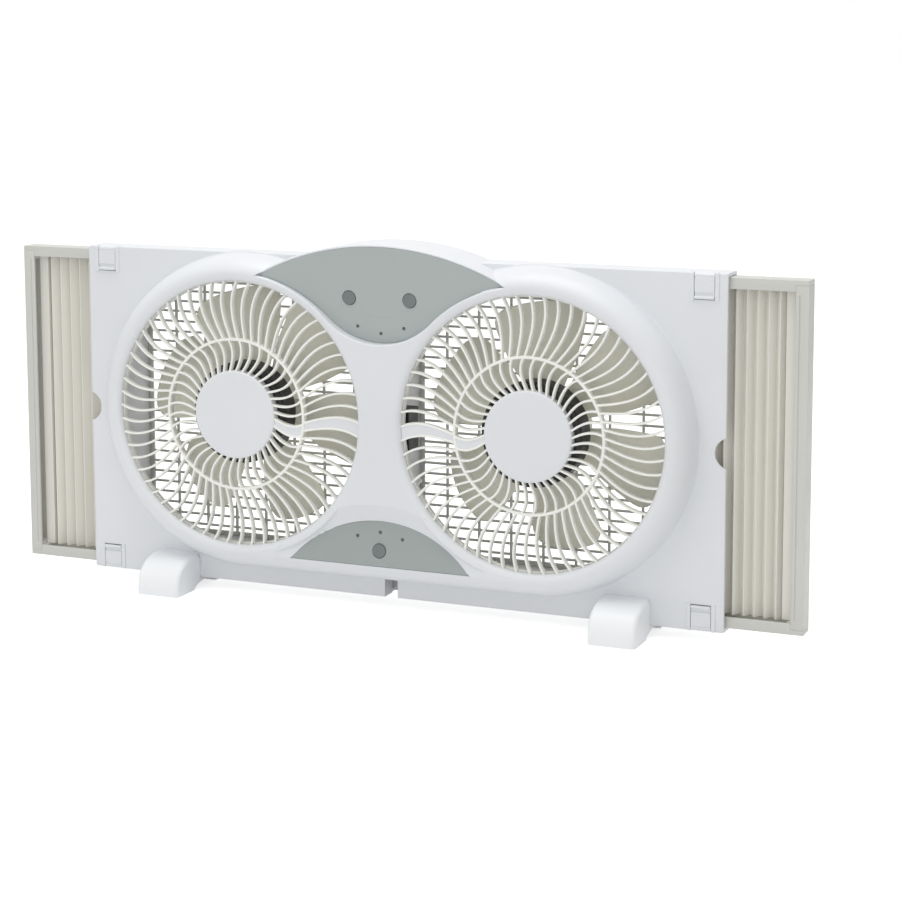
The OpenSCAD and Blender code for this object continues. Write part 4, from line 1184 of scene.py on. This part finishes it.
class WINDOWFAN_OT_fillers(bpy.types.Operator):
    """Pleated filler panels with their rails and end stiles"""
    bl_idname = "window_fan.fillers"
    bl_label = "Filler panels"

    def execute(self, context):
        for word, side in SIDES:
            x_end = HALF_W + OUT[word] - 11.3
            section = pleat_section(x_end, sizes().pleats)
            shape = Shape()
            shape.loft([[(side * x, z, -y) for x, y in section]
                        for z in (23.25, 60, 110, 159, 208, 258, 294.75)])
            bellows = piece(word + "_pleats", shape, "pleat_vinyl", "housing",
                            [word + "_bellows"], 50)
            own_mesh(bellows)
            for part in ("stile", "top_rail", "bottom_rail"):
                dressed(word + "_" + part, "frame_cream", 0.5)
        return {"FINISHED"}


# ---- latches and feet --------------------------------------------------------------------
def latch_flap(name):
    """A flap with a raised pad, a finger lip and a hinge barrel on its pin."""
    side = -1 if name.endswith("left") else 1
    up = name.startswith("top")
    mid, half = side * LATCH_X, LATCH_W / 2
    shape = Shape()
    for near, far, back, front, edge, corner in ((21.5, 3.2, 6.4, 8.0, 0.35, 0.8),
                                                 (21.5, 18.9, 6.6, 10.4, 0.9, 1.1),
                                                 (16.2, 3.6, 7.5, 9.0, 0.6, 1.2)):
        z0, z1 = (TOP_Z - near, TOP_Z - far) if up else (LOW_Z + far, LOW_Z + near)
        shape.block(mid - half, mid + half, z0, z1, back, front, edge, corner)
    z = TOP_Z - 2.3 if up else LOW_Z + 2.3
    barrel = [(-half, 1.45), (-half, 2.0), (0.3 - half, 2.3), (half - 0.3, 2.3), (half, 2.0), (half, 1.45)]
    shape.loft([[(mid + x, z + c, 6.5 + h) for c, h in hole((0, 0), r)] for x, r in barrel], ring=True)
    piece(name + "_flap", shape, "shell_white", name + "_latch", [name + "_latch"])


class WINDOWFAN_OT_latches(bpy.types.Operator):
    """Four corner latches, each a flap with a finger lip on a hinge barrel"""
    bl_idname = "window_fan.latches"
    bl_label = "Corner latches"

    def execute(self, context):
        for name in ("top_left", "top_right", "bottom_left", "bottom_right"):
            latch_flap(name)
        return {"FINISHED"}


def foot_outline():
    """Side view (y, z), with how far each corner may be rounded off across the width."""
    toe, front, back, heel = -50.0, -8.0, 19.0, 59.0
    tall, heel_tall, slot, arch_z, arch_r = 33.0, 31.0, 10.0, -34.0, 40.0
    blunt = 2 / 2.7
    turns = [math.radians(5 * i) for i in range(18)]
    out = [(toe + (front - toe) * (1 - math.cos(t) ** blunt),
            FOOT_Z + (tall - FOOT_Z) * math.sin(t) ** blunt, 1.0) for t in turns]
    out += [(front, tall, 1.0), (front, 27.0, 0.12), (front, slot, 0.12), (back, slot, 0.12),
            (back, 25.0, 0.12), (back, heel_tall, 1.0)]
    out += [(heel - (heel - back) * (1 - math.cos(t)), FOOT_Z + (heel_tall - FOOT_Z) * math.sin(t), 1.0)
            for t in reversed(turns)]
    a0 = math.degrees(math.asin((FOOT_Z - arch_z) / arch_r))
    return out + [(y, z, 0.2) for y, z in arc((0, arch_z), arch_r, a0, 180 - a0, 12)]


def hollow_outline(lo, hi, start, reach, tall):
    """Side view of one hollow under a foot, a wall's thickness inside the foot's curve."""
    wall, out = 3.2, [(lo, 0.0), (hi, 0.0)]
    for i in range(10, -1, -1):
        y = lo + (hi - lo) * i / 10
        k = min(abs(y - start) / reach, 0.999)
        out.append((y, 1.5 + tall * math.sqrt(1 - k * k) - wall))
    return out


def foot_block(mid):
    """A foot whose side view draws in towards both faces, so that its edges are round."""
    outline = foot_outline()
    plain = turned_left([(y, z) for y, z, _ in outline])
    weights = [w for *_, w in (outline if plain[0] == outline[0][:2] else reversed(outline))]
    edge = [(4.0 * (1 - c), 4.0 * (1 - s)) for s, c in quarter(6)]
    places = [(mid - FOOT_W / 2 + x, d) for x, d in edge]
    places += [(mid + FOOT_W / 2 - x, d) for x, d in reversed(edge)]
    rows = []
    for x, d in places:
        far, near = inset(plain, d), inset(plain, d * 0.12)
        row = []
        for p, round_edge, sharp_edge, w in zip(plain, far, near, weights):
            y, z = round_edge if w > 0.3 else sharp_edge
            row.append((x, max(z, FOOT_Z) if p[1] > 0.5 else FOOT_Z, -y))
        rows.append(row)
    shape = Shape()
    shape.loft(rows)
    return shape


def foot_hollows(mid):
    """What is cut out of a foot from below, in front of and behind its slot."""
    shape = Shape()
    for outline in (hollow_outline(-38.0, -10.5, -8.0, 42.0, 31.5),
                    hollow_outline(21.5, 46.0, 19.0, 40.0, 29.5)):
        shape.loft([[(x, z, -y) for y, z in outline] for x in (mid - 15.5, mid + 15.5)])
    return shape


def cut_mesh(shape, cutter):
    """The mesh of one shape with another cut out of it."""
    made = [add_object("helper", part.mesh("helper")) for part in (shape, cutter)]
    cut = made[0].modifiers.new("hollow", "BOOLEAN")
    cut.operation, cut.solver, cut.object = "DIFFERENCE", "EXACT", made[1]
    mesh = made_plain(made[0]).data
    for helper in made:
        bpy.data.objects.remove(helper)
    return mesh


class WINDOWFAN_OT_feet(bpy.types.Operator):
    """Two feet with soft edges and a slot for the housing, on rubber pads"""
    bl_idname = "window_fan.feet"
    bl_label = "Feet"

    def execute(self, context):
        pads = Shape()
        for word, side in SIDES:
            mid = side * FOOT_X + FOOT_SHIFT
            mesh = cut_mesh(foot_block(mid), foot_hollows(mid))
            # painted light: the feet take a lighter white than the shell
            piece(word + "_foot_block", mesh, "foot_lit_white", "housing",
                  [word + "_foot"], 50)
            for at in [(mid + x, h) for x in (-13.5, 13.5) for h in (41.5, -52.0)]:
                pads.loft([[(x, z, h) for x, h in hole(at, r, 24)]
                           for r, z in ((3.9, 0.0), (4.3, FOOT_Z), (4.3, 1.5))])
        piece("pads", pads, "pad_rubber", "housing", ["foot_pads"])
        return {"FINISHED"}


# ---- parts that keep their construction solids --------------------------------------------
KEPT = {
    "board_green": ("top_control_board", "bottom_control_board"),
    "case_black": ("run_capacitors", "left_motor", "right_motor"),
    "lead_black": ("cord_gland", "left_motor_lead", "right_motor_lead"),
    "bush_bronze": ("left_motor_bushes", "right_motor_bushes"),
    "button_grey": ("left_blade_nut", "right_blade_nut"),
    "bright_steel": ("left_shaft", "right_shaft", "housing_screws", "motor_screws", "latch_pins"),
}


class WINDOWFAN_OT_inner_parts(bpy.types.Operator):
    """Finishes for the parts that keep their construction solids"""
    bl_idname = "window_fan.inner_parts"
    bl_label = "Inner parts"

    def execute(self, context):
        for finish, names in KEPT.items():
            for name in names:
                slots = frame["nodes"][name].material_slots
                if not slots:
                    raise RuntimeError("no material slot on " + name)
                for slot in slots:
                    slot.material = finish_of(finish)
        return {"FINISHED"}


# ---- stage -------------------------------------------------------------------------------
def camera_and_lens():
    """The camera that took the picture, its lens shifted down by a sixth of the frame."""
    place, heading, tilt, roll = (0.78989, -1.74212, 0.51971), 22.92206, -7.40441, -0.15245
    data = bpy.data.cameras.new("camera")
    data.sensor_width, data.lens = 36.0, 89.4186
    data.shift_y = -1 / 6
    data.clip_end = 20.0
    camera = add_object("camera", data)
    turn = Matrix.Rotation(math.radians(heading), 4, "Z")
    turn @= Matrix.Rotation(math.radians(90 + tilt), 4, "X")
    turn @= Matrix.Rotation(math.radians(roll), 4, "Z")
    camera.matrix_world = Matrix.Translation(place) @ turn
    bpy.context.scene.camera = camera


def soft_light(name, power, size, place, aim):
    data = bpy.data.lights.new(name, "AREA")
    data.shape, data.size, data.energy = "DISK", size, power
    turn = (Vector(aim) - Vector(place)).to_track_quat("-Z", "Y").to_matrix().to_4x4()
    add_object(name, data).matrix_world = Matrix.Translation(place) @ turn


def seen_plain(tree, shader, bright):
    """Another shader for the rays that the camera, gloss or clear parts send."""
    rays = add_node(tree, "ShaderNodeLightPath").outputs
    seen = rays["Is Camera Ray"]
    for ray in ("Is Glossy Ray", "Is Transmission Ray"):
        seen = add_node(tree, "ShaderNodeMath", {0: seen, 1: rays[ray]}, operation="MAXIMUM").outputs[0]
    return add_node(tree, "ShaderNodeMixShader", {0: seen, 1: shader, 2: bright}).outputs[0]


def plain_room(ambient):
    """A room that is white to the camera and lights the object evenly, but less."""
    world = bpy.data.worlds.new("plain_room")
    bpy.context.scene.world = world
    world.use_nodes = True
    tree = world.node_tree
    room = wire(tree, tree.nodes["Background"], {"Color": WHITE, "Strength": ambient})
    white = add_node(tree, "ShaderNodeBackground", {"Color": WHITE})
    wire(tree, tree.nodes["World Output"], {0: seen_plain(tree, room.outputs[0], white.outputs[0])})


def pale_floor(colour):
    """A matt floor that shows almost white round the fan's soft shadow."""
    bm = bmesh.new()
    bmesh.ops.create_grid(bm, x_segments=8, y_segments=8, size=6.0)
    floor = add_object("floor", as_mesh(bm, "floor"))
    pale = bpy.data.materials.new("pale_floor")
    pale.use_nodes = True
    tree = pale.node_tree
    matt = wire(tree, tree.nodes["Principled BSDF"], {
        "Base Color": (*colour, 1.0), "Roughness": 0.9, "Specular IOR Level": 0.1})
    glow = add_node(tree, "ShaderNodeEmission", {"Strength": 0.66})
    both = add_node(tree, "ShaderNodeAddShader", {0: matt.outputs[0], 1: glow.outputs[0]})
    wire(tree, tree.nodes["Material Output"], {0: seen_plain(tree, matt.outputs[0], both.outputs[0])})
    floor.data.materials.append(pale)


class WINDOWFAN_OT_stage(bpy.types.Operator):
    """Floor, soft lights, plain world and the camera"""
    bl_idname = "window_fan.stage"
    bl_label = "Stage"

    def execute(self, context):
        settings = bpy.context.scene.window_fan_stage
        bpy.context.scene.view_settings.view_transform = "Standard"
        camera_and_lens()
        plain_room(settings.ambient)
        pale_floor(settings.floor)
        middle = (0.0, 0.0, 0.16)
        soft_light("key", settings.key, 1.6, (-0.9, -1.9, 1.7), middle)
        soft_light("top", settings.top, 1.6, (-0.1, -0.2, 2.0), middle)
        soft_light("fill", settings.fill, 1.2, (1.0, -2.3, 0.35), middle)
        return {"FINISHED"}


class WINDOWFAN_PT_panel(bpy.types.Panel):
    bl_idname = "WINDOWFAN_PT_panel"
    bl_label = "Window Fan"
    bl_space_type = "VIEW_3D"
    bl_region_type = "UI"
    bl_category = "Window Fan"

    def draw(self, context):
        layout = self.layout
        for group in (context.scene.window_fan_sizes, context.scene.window_fan_colours,
                      context.scene.window_fan_stage):
            box = layout.box()
            for name in group.__annotations__:
                box.prop(group, name)
        for operator in OPERATORS:
            layout.operator(operator.bl_idname)


OPERATORS = (WINDOWFAN_OT_stage, WINDOWFAN_OT_shell, WINDOWFAN_OT_controls, WINDOWFAN_OT_front_grilles,
             WINDOWFAN_OT_rear_grilles, WINDOWFAN_OT_fans, WINDOWFAN_OT_fillers, WINDOWFAN_OT_latches,
             WINDOWFAN_OT_feet, WINDOWFAN_OT_inner_parts)
GROUPS = {"window_fan_colours": WindowFanColours, "window_fan_sizes": WindowFanSizes,
          "window_fan_stage": WindowFanStage}


def register():
    for group in GROUPS.values():
        bpy.utils.register_class(group)
    for operator in OPERATORS:
        bpy.utils.register_class(operator)
    bpy.utils.register_class(WINDOWFAN_PT_panel)
    for name, group in GROUPS.items():
        setattr(bpy.types.Scene, name, PointerProperty(type=group))


def unregister():
    for name in GROUPS:
        delattr(bpy.types.Scene, name)
    bpy.utils.unregister_class(WINDOWFAN_PT_panel)
    for item in reversed((*GROUPS.values(), *OPERATORS)):
        bpy.utils.unregister_class(item)


def main():
    register()
    for operator in OPERATORS:
        group, name = operator.bl_idname.split(".")
        getattr(getattr(bpy.ops, group), name)()
    bpy.context.view_layer.update()


if __name__ == "__main__":
    main()
